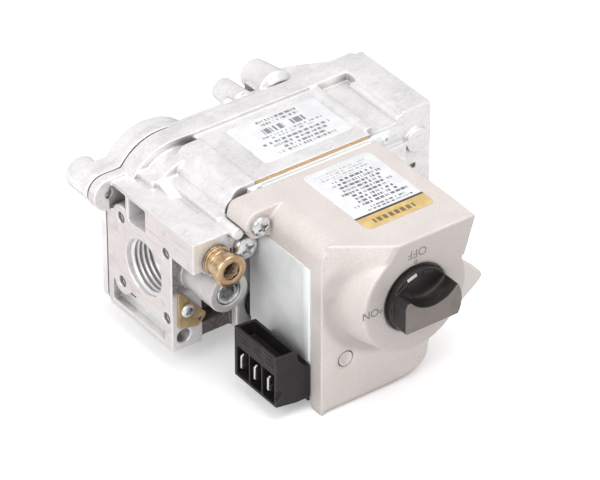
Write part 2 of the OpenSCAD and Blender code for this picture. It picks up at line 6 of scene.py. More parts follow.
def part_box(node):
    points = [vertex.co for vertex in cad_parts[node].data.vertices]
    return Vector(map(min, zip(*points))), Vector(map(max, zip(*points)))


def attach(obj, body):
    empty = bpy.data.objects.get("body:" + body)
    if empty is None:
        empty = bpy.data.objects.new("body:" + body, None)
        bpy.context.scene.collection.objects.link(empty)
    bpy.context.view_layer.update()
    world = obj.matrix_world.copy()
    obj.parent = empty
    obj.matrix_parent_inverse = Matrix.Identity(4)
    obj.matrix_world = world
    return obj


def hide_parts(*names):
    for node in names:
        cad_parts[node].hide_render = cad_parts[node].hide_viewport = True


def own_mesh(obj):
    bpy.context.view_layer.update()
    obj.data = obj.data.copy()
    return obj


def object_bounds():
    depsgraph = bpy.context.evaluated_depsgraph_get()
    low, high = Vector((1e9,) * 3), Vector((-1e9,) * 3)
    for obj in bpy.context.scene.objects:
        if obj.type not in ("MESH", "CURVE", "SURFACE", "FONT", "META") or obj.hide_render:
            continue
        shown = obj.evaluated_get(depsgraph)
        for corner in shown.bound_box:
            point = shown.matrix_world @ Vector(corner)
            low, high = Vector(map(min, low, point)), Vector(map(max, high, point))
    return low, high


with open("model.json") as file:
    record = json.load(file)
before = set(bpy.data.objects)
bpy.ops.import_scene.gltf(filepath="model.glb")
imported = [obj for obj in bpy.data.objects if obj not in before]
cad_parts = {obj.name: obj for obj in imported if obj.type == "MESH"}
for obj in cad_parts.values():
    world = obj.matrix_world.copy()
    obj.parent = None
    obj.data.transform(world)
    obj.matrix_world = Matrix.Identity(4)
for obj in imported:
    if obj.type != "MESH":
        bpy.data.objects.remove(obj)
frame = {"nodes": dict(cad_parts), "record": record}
CAD_BOX = [list(v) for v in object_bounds()]
NODES = frame["nodes"]
REC = frame["record"]
BODY_OF = {n: b for b, ns in REC["behaviour"]["bodies"].items() for n in ns}
SLOT_OF = {s["node"]: s["material_slot"] for s in REC["subparts"]}
scene = bpy.context.scene
MM = 0.001


# ---------------------------------------------------------------- mesh helpers (all in millimetres, row frame)
def lohi(node):
    a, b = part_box(node)
    return np.array(a) * 1000, np.array(b) * 1000


def cad_arrays(node):
    me = NODES[node].data
    v = np.empty(len(me.vertices) * 3, np.float32)
    me.vertices.foreach_get("co", v)
    v = v.reshape(-1, 3).astype(float) * 1000
    me.calc_loop_triangles()
    t = np.empty(len(me.loop_triangles) * 3, np.int32)
    me.loop_triangles.foreach_get("vertices", t)
    t = t.reshape(-1, 3)
    key = np.round(v / 0.002).astype(np.int64)
    _, first, inv = np.unique(key, axis=0, return_index=True, return_inverse=True)
    inv = inv.reshape(-1)
    t = inv[t]
    t = t[(t[:, 0] != t[:, 1]) & (t[:, 1] != t[:, 2]) & (t[:, 0] != t[:, 2])]
    return v[first], t


def make_mesh(name, V, F):
    me = bpy.data.meshes.new(name)
    V = np.asarray(V, float)
    me.from_pydata(V.tolist(), [], [list(map(int, f)) for f in F])
    me.validate()
    me.update()
    return me


def evaluated_arrays(me, mods):
    """Runs modifiers on a mesh and gives back its vertices and faces."""
    ob = bpy.data.objects.new("tmp_eval", me)
    scene.collection.objects.link(ob)
    for kind, props in mods:
        m = ob.modifiers.new(kind, kind)
        for k, val in props.items():
            setattr(m, k, val)
    dg = bpy.context.evaluated_depsgraph_get()
    out = bpy.data.meshes.new_from_object(ob.evaluated_get(dg))
    bpy.data.objects.remove(ob)
    n = len(out.vertices)
    v = np.empty(n * 3, np.float32)
    out.vertices.foreach_get("co", v)
    lt = np.empty(len(out.polygons), np.int32)
    ls = np.empty(len(out.polygons), np.int32)
    out.polygons.foreach_get("loop_total", lt)
    out.polygons.foreach_get("loop_start", ls)
    li = np.empty(len(out.loops), np.int32)
    out.loops.foreach_get("vertex_index", li)
    if len(lt) and (lt == lt[0]).all():
        F = li.reshape(-1, lt[0])
    else:
        F = [li[a:a + b] for a, b in zip(ls, lt)]
    bpy.data.meshes.remove(out)
    return v.reshape(-1, 3).astype(float), F


def join(parts):
    Vs, Fs, k = [], [], 0
    for V, F in parts:
        V = np.asarray(V, float)
        Vs.append(V)
        Fs += [[int(i) + k for i in f] for f in F]
        k += len(V)
    return np.vstack(Vs), Fs


def remesh(V, F, voxel):
    me = make_mesh("tmp", V, F)
    return evaluated_arrays(me, [("REMESH", dict(mode="VOXEL", voxel_size=voxel, adaptivity=0.0))])


def boolean(V, F, cutters, op="DIFFERENCE"):
    base = make_mesh("tmp_base", V, F)
    ob = bpy.data.objects.new("tmp_base", base)
    scene.collection.objects.link(ob)
    extra = []
    for i, (cv, cf) in enumerate(cutters):
        c = bpy.data.objects.new("tmp_cut", make_mesh("tmp_cut", cv, cf))
        scene.collection.objects.link(c)
        extra.append(c)
        m = ob.modifiers.new("b%d" % i, "BOOLEAN")
        m.operation = op
        m.solver = "EXACT"
        m.object = c
    dg = bpy.context.evaluated_depsgraph_get()
    out = bpy.data.meshes.new_from_object(ob.evaluated_get(dg))
    for o in [ob] + extra:
        bpy.data.objects.remove(o)
    V2 = np.array([v.co for v in out.vertices], float)
    F2 = [list(p.vertices) for p in out.polygons]
    bpy.data.meshes.remove(out)
    return V2, F2


def edges_of(F):
    F = np.asarray(F)
    e = np.vstack([np.stack([F[:, i], F[:, (i + 1) % F.shape[1]]], 1) for i in range(F.shape[1])])
    e.sort(axis=1)
    return np.unique(e, axis=0)


def relax(V, E, times, w=None, taubin=True):
    n = len(V)
    deg = np.bincount(E.ravel(), minlength=n).astype(float)[:, None]
    deg[deg == 0] = 1
    a = np.r_[E[:, 0], E[:, 1]]
    b = np.r_[E[:, 1], E[:, 0]]
    w = 1.0 if w is None else w[:, None]
    for i in range(times):
        for lam in ((0.55, -0.57) if taubin else (0.55,)):
            s = np.stack([np.bincount(a, V[b, k], minlength=n) for k in range(3)], 1) / deg
            V = V + w * lam * (s - V)
    return V


def normals_of(V, F):
    F = np.asarray(F)
    p = V[F[:, 0]]
    n = np.cross(V[F[:, 2]] - p, V[F[:, -1]] - V[F[:, 1]]) if F.shape[1] == 4 else np.cross(V[F[:, 1]] - p, V[F[:, 2]] - p)
    out = np.zeros_like(V)
    for i in range(F.shape[1]):
        for k in range(3):
            out[:, k] += np.bincount(F[:, i], n[:, k], minlength=len(V))
    return out / (np.linalg.norm(out, axis=1, keepdims=True) + 1e-12)


def lattice(P, size, seed):
    """Smooth value noise in -1..1 at points P, with cells of the given size."""
    q = P / size + 1000.0
    i = np.floor(q).astype(np.int64)
    f = q - i
    f = f * f * (3 - 2 * f)

    def h(ix, iy, iz):
        x = (ix * 73856093) ^ (iy * 19349663) ^ (iz * 83492791) ^ (seed * 2654435761)
        x = (x ^ (x >> 13)) * 1274126177
        x = (x ^ (x >> 16)) & 0xFFFFFF
        return x / 8388607.5 - 1.0

    out = 0
    for dx in (0, 1):
        for dy in (0, 1):
            for dz in (0, 1):
                wgt = (f[:, 0] if dx else 1 - f[:, 0]) * (f[:, 1] if dy else 1 - f[:, 1]) * (f[:, 2] if dz else 1 - f[:, 2])
                out = out + wgt * h(i[:, 0] + dx, i[:, 1] + dy, i[:, 2] + dz)
    return out


def box(x0, x1, y0, y1, z0, z1):
    V = [(x, y, z) for x in (x0, x1) for y in (y0, y1) for z in (z0, z1)]
    F = [(0, 1, 3, 2), (4, 6, 7, 5), (0, 4, 5, 1), (2, 3, 7, 6), (0, 2, 6, 4), (1, 5, 7, 3)]
    return np.array(V, float), F


AX = {"x": ((0, 1, 0), (0, 0, 1), (1, 0, 0)), "y": ((0, 0, 1), (1, 0, 0), (0, 1, 0)), "z": ((1, 0, 0), (0, 1, 0), (0, 0, 1))}


def revolve(axis, centre, prof, seg=72, closed=False):
    """Turns a profile of (distance along the axis, radius) about an axis through centre. Radius 0 closes an end."""
    u, v, w = [np.array(a, float) for a in AX[axis]]
    c = np.array(centre, float)
    V, rings = [], []
    for t, r in prof:
        if r <= 1e-9:
            rings.append([len(V)])
            V.append(c + w * t)
        else:
            rings.append(list(range(len(V), len(V) + seg)))
            for k in range(seg):
                a = 2 * math.pi * k / seg
                V.append(c + w * t + u * r * math.cos(a) + v * r * math.sin(a))
    F = []
    pairs = list(zip(rings[:-1], rings[1:]))
    if closed:
        pairs.append((rings[-1], rings[0]))
    for A, B in pairs:
        if len(A) == 1 and len(B) == 1:
            continue
        for k in range(seg):
            k2 = (k + 1) % seg
            if len(A) == 1:
                F.append((A[0], B[k2], B[k]))
            elif len(B) == 1:
                F.append((A[k], A[k2], B[0]))
            else:
                F.append((A[k], A[k2], B[k2], B[k]))
    return np.array(V), F


def outward(V, F):
    """Makes the faces of a closed shape point outwards."""
    me = make_mesh("tmp", V, F)
    bm = bmesh.new()
    bm.from_mesh(me)
    bmesh.ops.recalc_face_normals(bm, faces=bm.faces)
    vol = bm.calc_volume(signed=True)
    if vol < 0:
        bmesh.ops.reverse_faces(bm, faces=bm.faces)
    V = np.array([v.co for v in bm.verts], float)
    F = [[v.index for v in f.verts] for f in bm.faces]
    bm.free()
    bpy.data.meshes.remove(me)
    return V, F


def prism(axis, pts, a0, a1):
    """A closed polygon extruded along an axis. pts are (first, second) in-plane row coordinates: y,z / x,z / x,y."""
    n = len(pts)
    V = []
    for a in (a0, a1):
        for p in pts:
            V.append({"x": (a, p[0], p[1]), "y": (p[0], a, p[1]), "z": (p[0], p[1], a)}[axis])
    F = [list(range(n)), list(range(2 * n - 1, n - 1, -1))] + [(i, i + n, (i + 1) % n + n, (i + 1) % n) for i in range(n)]
    return outward(np.array(V, float), F)


def round_rect(a0, a1, b0, b1, r, n=8):
    out = []
    for cx, cy, s in ((a1 - r, b1 - r, 0), (a0 + r, b1 - r, 90), (a0 + r, b0 + r, 180), (a1 - r, b0 + r, 270)):
        for k in range(n + 1):
            a = math.radians(s + 90 * k / n)
            out.append((cx + r * math.cos(a), cy + r * math.sin(a)))
    return out


MADE = []


def piece(name, V, F, body, mats, replaces=(), smooth_deg=None, tris=None, bevel=None, attrs=None):
    me = make_mesh(name, np.asarray(V) * MM, F)
    ob = bpy.data.objects.new(name, me)
    scene.collection.objects.link(ob)
    for m in (mats if isinstance(mats, (list, tuple)) else [mats]):
        me.materials.append(m)
    mods = []
    if bevel:
        bm = bmesh.new()
        bm.from_mesh(me)
        bmesh.ops.dissolve_limit(bm, angle_limit=math.radians(1.0), verts=bm.verts, edges=bm.edges)
        bm.to_mesh(me)
        bm.free()
        mods.append(("BEVEL", dict(width=bevel * MM, segments=2, limit_method="ANGLE", angle_limit=math.radians(35), use_clamp_overlap=True)))
    if tris:
        have = sum(len(f) - 2 for f in F) if not isinstance(F, np.ndarray) else len(F) * (F.shape[1] - 2)
        if have > tris:
            mods.append(("DECIMATE", dict(ratio=tris / have)))
    if mods:
        for kind, props in mods:
            m = ob.modifiers.new(kind, kind)
            for k, v in props.items():
                setattr(m, k, v)
        dg = bpy.context.evaluated_depsgraph_get()
        new = bpy.data.meshes.new_from_object(ob.evaluated_get(dg))
        ob.modifiers.clear()
        ob.data = new
        me = new
    # nothing reaches past the CAD box
    co = np.empty(len(me.vertices) * 3)
    me.vertices.foreach_get("co", co)
    co = np.clip(co.reshape(-1, 3), np.array(CAD_BOX[0]) + 1e-6, np.array(CAD_BOX[1]) - 1e-6)
    me.vertices.foreach_set("co", co.ravel())
    me.update()
    me.polygons.foreach_set("use_smooth", [True] * len(me.polygons))
    if smooth_deg is not None:
        sharp_edges(me, smooth_deg)
    me.name = name
    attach(ob, body)
    if replaces:
        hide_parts(*replaces)
    MADE.append(ob)
    return ob


def sharp_edges(me, deg):
    bm = bmesh.new()
    bm.from_mesh(me)
    lim = math.radians(deg)
    for e in bm.edges:
        if len(e.link_faces) == 2:
            e.smooth = e.calc_face_angle(0) < lim
        else:
            e.smooth = False
    bm.to_mesh(me)
    bm.free()


# ---------------------------------------------------------------- material helpers
class Mat:
    def __init__(self, name):
        self.m = bpy.data.materials.new(name)
        self.m.use_nodes = True
        self.t = self.m.node_tree
        self.t.nodes.clear()
        self.out = self.node("ShaderNodeOutputMaterial")
        self.b = self.node("ShaderNodeBsdfPrincipled")
        self.t.links.new(self.b.outputs["BSDF"], self.out.inputs["Surface"])
        self.P = self.node("ShaderNodeTexCoord").outputs["Object"]
        s = self.node("ShaderNodeVectorMath", operation="SCALE")
        s.inputs["Scale"].default_value = 1000.0
        self.t.links.new(self.P, s.inputs[0])
        self.P = s.outputs[0]          # millimetres in the row frame
        sep = self.node("ShaderNodeSeparateXYZ")
        self.t.links.new(self.P, sep.inputs[0])
        self.x, self.y, self.z = sep.outputs
        geo = self.node("ShaderNodeNewGeometry")
        self.N = geo.outputs["True Normal"]
        sn = self.node("ShaderNodeSeparateXYZ")
        self.t.links.new(self.N, sn.inputs[0])
        self.nx, self.ny, self.nz = sn.outputs
        self._ao = {}

    def node(self, kind, **kw):
        n = self.t.nodes.new(kind)
        for k, v in kw.items():
            setattr(n, k, v)
        return n

    def put(self, sock, val):
        if hasattr(val, "links") or isinstance(val, bpy.types.NodeSocket):
            self.t.links.new(val, sock)
        elif isinstance(val, (tuple, list)) and len(val) == 3 and sock.type == "RGBA":
            sock.default_value = (*val, 1)
        else:
            sock.default_value = val

    def f(self, op, a, b=None, c=None, clamp=False):
        n = self.node("ShaderNodeMath", operation=op, use_clamp=clamp)
        self.put(n.inputs[0], a)
        if b is not None:
            self.put(n.inputs[1], b)
        if c is not None:
            self.put(n.inputs[2], c)
        return n.outputs[0]

    def step(self, val, lo, hi):
        """0 below lo, 1 above hi, smooth between (lo may be above hi)."""
        n = self.node("ShaderNodeMapRange", interpolation_type="SMOOTHSTEP")
        self.put(n.inputs["Value"], val)
        flip = lo > hi
        n.inputs["From Min"].default_value, n.inputs["From Max"].default_value = (hi, lo) if flip else (lo, hi)
        n.inputs["To Min"].default_value, n.inputs["To Max"].default_value = (1, 0) if flip else (0, 1)
        return n.outputs["Result"]

    def span(self, val, lo, hi):
        return self.f("MULTIPLY", self.f("GREATER_THAN", val, lo), self.f("LESS_THAN", val, hi))

    def vec(self, x, y, z):
        n = self.node("ShaderNodeCombineXYZ")
        for s, v in zip(n.inputs, (x, y, z)):
            self.put(s, v)
        return n.outputs[0]

    def noise(self, size, detail=3.0, rough=0.5, dist=0.0, vec=None):
        n = self.node("ShaderNodeTexNoise")
        n.inputs["Scale"].default_value = 1.0 / size
        n.inputs["Detail"].default_value = detail
        n.inputs["Roughness"].default_value = rough
        n.inputs["Distortion"].default_value = dist
        self.t.links.new(vec if vec is not None else self.P, n.inputs["Vector"])
        return n.outputs["Fac"]

    def stretch(self, sx, sy, sz):
        n = self.node("ShaderNodeVectorMath", operation="MULTIPLY")
        self.t.links.new(self.P, n.inputs[0])
        n.inputs[1].default_value = (sx, sy, sz)
        return n.outputs[0]

    def cells(self, size, feature="F1", vec=None):
        n = self.node("ShaderNodeTexVoronoi", feature=feature)
        n.inputs["Scale"].default_value = 1.0 / size
        self.t.links.new(vec if vec is not None else self.P, n.inputs["Vector"])
        return n

    def white(self, vec):
        n = self.node("ShaderNodeTexWhiteNoise", noise_dimensions="3D")
        self.t.links.new(vec, n.inputs["Vector"])
        return n.outputs["Value"]

    def mix(self, fac, a, b, blend="MIX"):
        n = self.node("ShaderNodeMix", data_type="RGBA", blend_type=blend)
        self.put(n.inputs["Factor"], fac)
        self.put(n.inputs["A"] if n.inputs["A"].type == "RGBA" else n.inputs[6], a)
        self.put(n.inputs[7], b)
        return n.outputs[2]

    def lerp(self, fac, a, b):
        n = self.node("ShaderNodeMapRange", clamp=True)
        self.put(n.inputs["Value"], fac)
        self.put(n.inputs["To Min"], a)
        self.put(n.inputs["To Max"], b)
        return n.outputs["Result"]

    def bump(self, height, strength, depth_mm, normal=None):
        n = self.node("ShaderNodeBump")
        n.inputs["Strength"].default_value = strength
        n.inputs["Distance"].default_value = depth_mm * MM
        self.put(n.inputs["Height"], height)
        if normal is not None:
            self.t.links.new(normal, n.inputs["Normal"])
        return n.outputs["Normal"]

    def soft(self, radius_mm):
        n = self.node("ShaderNodeBevel", samples=4)
        n.inputs["Radius"].default_value = radius_mm * MM
        return n.outputs["Normal"]

    def edge(self, radius_mm):
        """Bright where the surface turns sharply."""
        d = self.node("ShaderNodeVectorMath", operation="DOT_PRODUCT")
        self.t.links.new(self.soft(radius_mm), d.inputs[0])
        self.t.links.new(self.N, d.inputs[1])
        return self.step(d.outputs["Value"], 0.995, 0.80)

    def ao(self, dist_mm):
        if dist_mm not in self._ao:
            n = self.node("ShaderNodeAmbientOcclusion", samples=6)
            n.inputs["Distance"].default_value = dist_mm * MM
            self._ao[dist_mm] = n.outputs["AO"]
        return self._ao[dist_mm]

    def done(self, color, rough, metal=0.0, normal=None, spec=None, coat=None, coat_rough=0.2):
        b = self.b
        self.put(b.inputs["Base Color"], color)
        self.put(b.inputs["Roughness"], rough)
        self.put(b.inputs["Metallic"], metal)
        if normal is not None:
            self.t.links.new(normal, b.inputs["Normal"])
        if spec is not None:
            self.put(b.inputs["Specular IOR Level"], spec)
        if coat is not None:
            self.put(b.inputs["Coat Weight"], coat)
            b.inputs["Coat Roughness"].default_value = coat_rough
        return self.m


def mat_cast(name, port_faces=True, tint=(1.0, 1.0, 1.0)):
    m = Mat(name)
    big = m.noise(14, 4, 0.6, 0.6)
    mid = m.noise(3.2, 4, 0.65, 0.3)
    fine = m.noise(0.42, 3, 0.6)
    grain = m.noise(0.16, 2, 0.5)
    c = m.mix(m.step(big, 0.30, 0.72), (0.835, 0.82, 0.835), (0.98, 0.97, 0.955))
    c = m.mix(m.f("MULTIPLY", m.step(mid, 0.50, 0.72), 0.35), c, (0.97, 0.96, 0.94))
    c = m.mix(m.f("MULTIPLY", m.step(grain, 0.52, 0.66), 0.30), c, (0.985, 0.98, 0.97))
    c = m.mix(m.f("MULTIPLY", m.step(fine, 0.47, 0.34), 0.42), c, (0.56, 0.54, 0.56))
    # soft rubbed streaks along the valve
    st = m.noise(1.0, 5, 0.65, 1.6, m.stretch(0.16, 0.34, 0.40))
    c = m.mix(m.f("MULTIPLY", m.step(st, 0.52, 0.72), 0.30), c, (0.52, 0.505, 0.53))
    # scuffed grey patches
    sc = m.noise(2.4, 5, 0.72, 1.2)
    c = m.mix(m.f("MULTIPLY", m.f("MULTIPLY", m.step(sc, 0.52, 0.66), m.step(big, 0.62, 0.40)), 0.18), c, (0.46, 0.45, 0.475))
    # painted shade: surfaces seen at a glancing angle are darkened in the colour, imitating bright metal reflections
    lw = m.node("ShaderNodeLayerWeight")
    lw.inputs["Blend"].default_value = 0.5
    glancing_painted_shade = m.step(lw.outputs["Facing"], 0.62, 0.96)
    c = m.mix(m.f("MULTIPLY", glancing_painted_shade, 0.62), c, (0.30, 0.285, 0.30))
    # fine dark pits
    pit = m.cells(1.05)
    c = m.mix(m.f("MULTIPLY", m.step(pit.outputs["Distance"], 0.16, 0.05), 0.35), c, (0.42, 0.40, 0.42))
    rough = m.lerp(mid, 0.34, 0.56)
    metal = 0.58
    h = m.f("ADD", m.f("MULTIPLY", fine, 0.7), m.f("MULTIPLY", grain, 0.3))
    e = m.edge(0.9)
    c = m.mix(m.f("MULTIPLY", e, 0.55), c, (0.97, 0.96, 0.95))
    rough = m.f("SUBTRACT", rough, m.f("MULTIPLY", e, 0.12))
    # painted shade: recesses and fine creases are darkened in the colour
    painted_recess_shade = m.step(m.ao(7.0), 0.74, 0.20)
    c = m.mix(m.f("MULTIPLY", painted_recess_shade, 0.80), c, (0.13, 0.115, 0.12))
    painted_crease_shade = m.step(m.ao(1.7), 0.78, 0.34)
    c = m.mix(m.f("MULTIPLY", painted_crease_shade, m.lerp(mid, 0.45, 0.85)), c, (0.20, 0.18, 0.185))
    if port_faces:
        # rough unmachined skin beside the pilot outlet, darkened with painted shade under the overhanging block;
        # painted shade in the well below it
        mott = m.step(m.noise(1.1, 4, 0.7, 0.5), 0.36, 0.66)
        skin_and_painted_shade = m.mix(mott, (0.13, 0.115, 0.105), (0.36, 0.33, 0.315))
        side_skin_and_shade = m.f("MULTIPLY", m.f("LESS_THAN", m.ny, -0.7), m.f("MULTIPLY", m.span(m.y, -17.2, -16.0), m.f("MULTIPLY", m.span(m.x, 0.5, 13.0), m.step(m.z, -4.5, -1.0))))
        # painted shade: the well under the block is coloured nearly black
        painted_well_shade = m.f("MULTIPLY", m.span(m.x, 12.45, 24.6), m.f("MULTIPLY", m.span(m.y, -17.5, -7.0), m.step(m.z, 9.5, 7.5)))
        c = m.mix(m.f("MULTIPLY", side_skin_and_shade, 0.9), c, skin_and_painted_shade)
        c = m.mix(m.f("MULTIPLY", painted_well_shade, 0.92), c, m.mix(mott, (0.045, 0.036, 0.032), (0.20, 0.17, 0.155)))
        # painted shade on the tap boss, greyer where it sits in the recess
        bx = m.f("SUBTRACT", m.x, 11.5)
        bz = m.f("SUBTRACT", m.z, 4.4)
        painted_tap_boss_shade = m.f("LESS_THAN", m.f("SQRT", m.f("ADD", m.f("MULTIPLY", bx, bx), m.f("MULTIPLY", bz, bz))), 7.8)
        painted_tap_boss_shade = m.f("MULTIPLY", painted_tap_boss_shade, m.f("LESS_THAN", m.y, -16.6))
        c = m.mix(m.f("MULTIPLY", painted_tap_boss_shade, m.lerp(mid, 0.35, 0.75)), c, (0.34, 0.325, 0.315))
    if port_faces:
        face = m.f("MULTIPLY", m.f("GREATER_THAN", m.f("ABSOLUTE", m.nx), 0.93),
                   m.f("ADD", m.f("LESS_THAN", m.x, 0.35), m.f("GREATER_THAN", m.x, 107.6), clamp=True))
        mill = m.noise(1.0, 2, 0.5, 0.2, m.stretch(1.0, 0.07, 2.4))
        cf = m.mix(m.step(mill, 0.3, 0.7), (0.68, 0.625, 0.615), (0.82, 0.77, 0.755))
        cf = m.mix(m.f("MULTIPLY", m.step(m.noise(5, 3, 0.6), 0.52, 0.7), 0.45), cf, (0.56, 0.50, 0.505))
        cf = m.mix(m.f("MULTIPLY", e, 0.5), cf, (0.98, 0.97, 0.96))
        c = m.mix(face, c, cf)
        rough = m.lerp(face, rough, 0.42)
        h = m.lerp(face, h, m.f("MULTIPLY", mill, 0.35))
    if tint != (1.0, 1.0, 1.0):
        c = m.mix(1.0, c, tint, "MULTIPLY")
    n = m.bump(m.noise(1.6, 3, 0.55), 0.35, 0.10, m.soft(0.22))
    n = m.bump(h, 0.55, 0.05, n)
    return m.done(c, rough, metal, n)


def mat_housing(name):
    m = Mat(name)
    sp = m.noise(0.42, 2, 0.6)
    sp2 = m.cells(0.75)
    big = m.noise(16, 3, 0.55, 0.4)
    c = m.mix(m.step(big, 0.35, 0.68), (0.655, 0.600, 0.575), (0.700, 0.645, 0.620))
    c = m.mix(m.f("MULTIPLY", m.step(sp, 0.50, 0.66), 0.50), c, (0.80, 0.755, 0.735))
    c = m.mix(m.f("MULTIPLY", m.step(sp, 0.46, 0.33), 0.45), c, (0.50, 0.450, 0.425))
    c = m.mix(m.f("MULTIPLY", m.step(sp2.outputs["Distance"], 0.14, 0.05), 0.30), c, (0.42, 0.38, 0.36))
    # painted shade: a dark band on the flank round the dial boss and on the front face beside it
    hx = m.f("SUBTRACT", m.x, 54.8)
    hz = m.f("SUBTRACT", m.z, 11.2)
    hr = m.f("SQRT", m.f("ADD", m.f("MULTIPLY", hx, hx), m.f("MULTIPLY", hz, hz)))
    near = m.f("MULTIPLY", m.f("MULTIPLY", m.step(hr, 30.0, 26.5), m.step(hr, 22.0, 25.0)), m.step(m.y, -75.5, -73.5))
    near = m.f("MULTIPLY", near, m.f("LESS_THAN", m.y, -60.0))
    near = m.f("MULTIPLY", near, m.f("MULTIPLY", m.step(m.z, 30.0, 20.0), m.step(m.x, 62.0, 50.0)))
    c = m.mix(m.f("MULTIPLY", near, m.lerp(big, 0.40, 0.62)), c, (0.37, 0.335, 0.32))
    disc = m.f("MULTIPLY", m.f("LESS_THAN", m.y, -79.0), m.f("LESS_THAN", m.ny, -0.5))
    c = m.mix(m.f("MULTIPLY", disc, m.lerp(big, 0.45, 0.72)), c, (0.47, 0.43, 0.41))
    e = m.edge(0.8)
    c = m.mix(m.f("MULTIPLY", e, 0.40), c, (0.86, 0.83, 0.81))
    # painted shade: recesses are darkened in the colour
    c = m.mix(m.f("MULTIPLY", m.step(m.ao(6.0), 0.75, 0.25), 0.5), c, (0.30, 0.26, 0.245))
    n = m.bump(m.noise(0.5, 3, 0.6), 0.45, 0.05, m.soft(0.25))
    n = m.bump(m.noise(6, 2, 0.5), 0.25, 0.12, n)
    return m.done(c, m.lerp(sp, 0.42, 0.58), 0.18, n, spec=0.45)


def mat_plate(name):
    m = Mat(name)
    cloud = m.noise(7, 4, 0.6, 0.8)
    st = m.noise(1.0, 3, 0.6, 0.5, m.stretch(1, 0.55, 0.09))
    c = m.mix(m.step(cloud, 0.36, 0.66), (0.87, 0.90, 0.91), (0.93, 0.95, 0.955))
    c = m.mix(m.f("MULTIPLY", m.step(st, 0.5, 0.72), 0.25), c, (0.94, 0.955, 0.955))
    fl = m.cells(1.3)
    c = m.mix(m.f("MULTIPLY", m.step(fl.outputs["Distance"], 0.12, 0.04), 0.5), c, (0.40, 0.40, 0.38))
    e = m.edge(0.7)
    c = m.mix(m.f("MULTIPLY", e, 0.6), c, (0.93, 0.94, 0.93))
    n = m.bump(m.noise(0.8, 3, 0.6), 0.3, 0.03, m.soft(0.3))
    return m.done(c, m.lerp(cloud, 0.34, 0.50), 0.22, n)


def mat_plastic(name, dark, light, rough, grain=0.25, edge_light=0.35, spec=0.5, painted_front_sheen=None):
    m = Mat(name)
    g = m.noise(grain, 2, 0.6)
    big = m.noise(6, 3, 0.6, 0.5)
    c = m.mix(m.step(big, 0.35, 0.7), dark, light)
    c = m.mix(m.f("MULTIPLY", m.step(g, 0.55, 0.75), 0.25), c, tuple(min(1, v * 2.2 + 0.015) for v in light))
    e = m.edge(0.5)
    if painted_front_sheen:
        # painted sheen: the broad front faces are made paler than the rest
        c = m.mix(m.f("MULTIPLY", m.f("MULTIPLY", m.step(m.f("MULTIPLY", m.ny, -1.0), 0.80, 0.97), m.f("LESS_THAN", m.y, -86.5)), m.lerp(big, 0.50, 0.95)), c, painted_front_sheen)
    c = m.mix(m.f("MULTIPLY", e, edge_light), c, tuple(min(1, v * 3.0 + 0.03) for v in light))
    n = m.bump(g, 0.35, 0.03, m.soft(0.18))
    return m.done(c, m.lerp(big, rough - 0.06, rough + 0.08), 0.0, n, spec=spec)


def mat_metal(name, lo, hi, rough, metal=1.0, turned=None, centre=(0, 0, 0), tarnish=None, scratch=0.3, soft=0.2, painted_hollow_shade_mm=None):
    """Turned, stamped or plated metal. turned is the axis of fine lathe rings."""
    m = Mat(name)
    cloud = m.noise(3.0, 4, 0.6, 0.6)
    c = m.mix(m.step(cloud, 0.35, 0.68), lo, hi)
    if tarnish:
        t = m.noise(1.5, 4, 0.65, 0.8)
        c = m.mix(m.f("MULTIPLY", m.step(t, 0.50, 0.72), 0.55), c, tarnish)
        c = m.mix(m.f("MULTIPLY", m.step(m.ao(2.5), 0.7, 0.2), 0.6), c, tuple(v * 0.5 for v in tarnish))
    e = m.edge(0.35)
    c = m.mix(m.f("MULTIPLY", e, 0.5), c, tuple(min(1, v * 1.15 + 0.08) for v in hi))
    r = m.lerp(cloud, rough - 0.06, rough + 0.10)
    h = m.noise(0.30, 3, 0.6)
    n = m.soft(soft)
    if turned:
        i, j = {"x": ("y", "z"), "y": ("x", "z"), "z": ("x", "y")}[turned]
        ci = centre["xyz".index(i)]
        cj = centre["xyz".index(j)]
        a = m.f("SUBTRACT", getattr(m, i), ci)
        b = m.f("SUBTRACT", getattr(m, j), cj)
        rad = m.f("SQRT", m.f("ADD", m.f("MULTIPLY", a, a), m.f("MULTIPLY", b, b)))
        along = m.f("ADD", rad, getattr(m, turned))
        w = m.noise(0.10, 2, 0.7, 0, m.vec(along, 0, 0))
        n = m.bump(w, 0.55, 0.03, n)
        c = m.mix(m.f("MULTIPLY", m.step(w, 0.52, 0.70), 0.22), c, tuple(v * 0.55 for v in lo))
    if name == "brass":
        c = m.mix(m.f("MULTIPLY", m.f("LESS_THAN", m.ny, -0.9), m.lerp(cloud, 0.35, 0.75)), c, (0.42, 0.27, 0.17))
    # painted shade: deep hollows such as bores and sockets darken almost to black
    if painted_hollow_shade_mm:
        c = m.mix(m.step(m.ao(painted_hollow_shade_mm), 0.52, 0.20), c, tuple(v * 0.035 for v in lo))
    n = m.bump(h, scratch, 0.03, n)
    return m.done(c, r, metal, n)


def mat_sheet(name, a, b, rough=0.8, fibre=0.5):
    m = Mat(name)
    f1 = m.noise(0.6, 4, 0.7, 0.6)
    f2 = m.noise(0.18, 3, 0.6)
    c = m.mix(m.step(f1, 0.36, 0.66), a, b)
    c = m.mix(m.f("MULTIPLY", m.step(f2, 0.56, 0.74), 0.4), c, tuple(min(1, v * 1.5 + 0.05) for v in b))
    n = m.bump(f1, fibre, 0.10, m.soft(0.12))
    return m.done(c, m.lerp(f2, rough - 0.08, rough + 0.08), 0.0, n, spec=0.3)


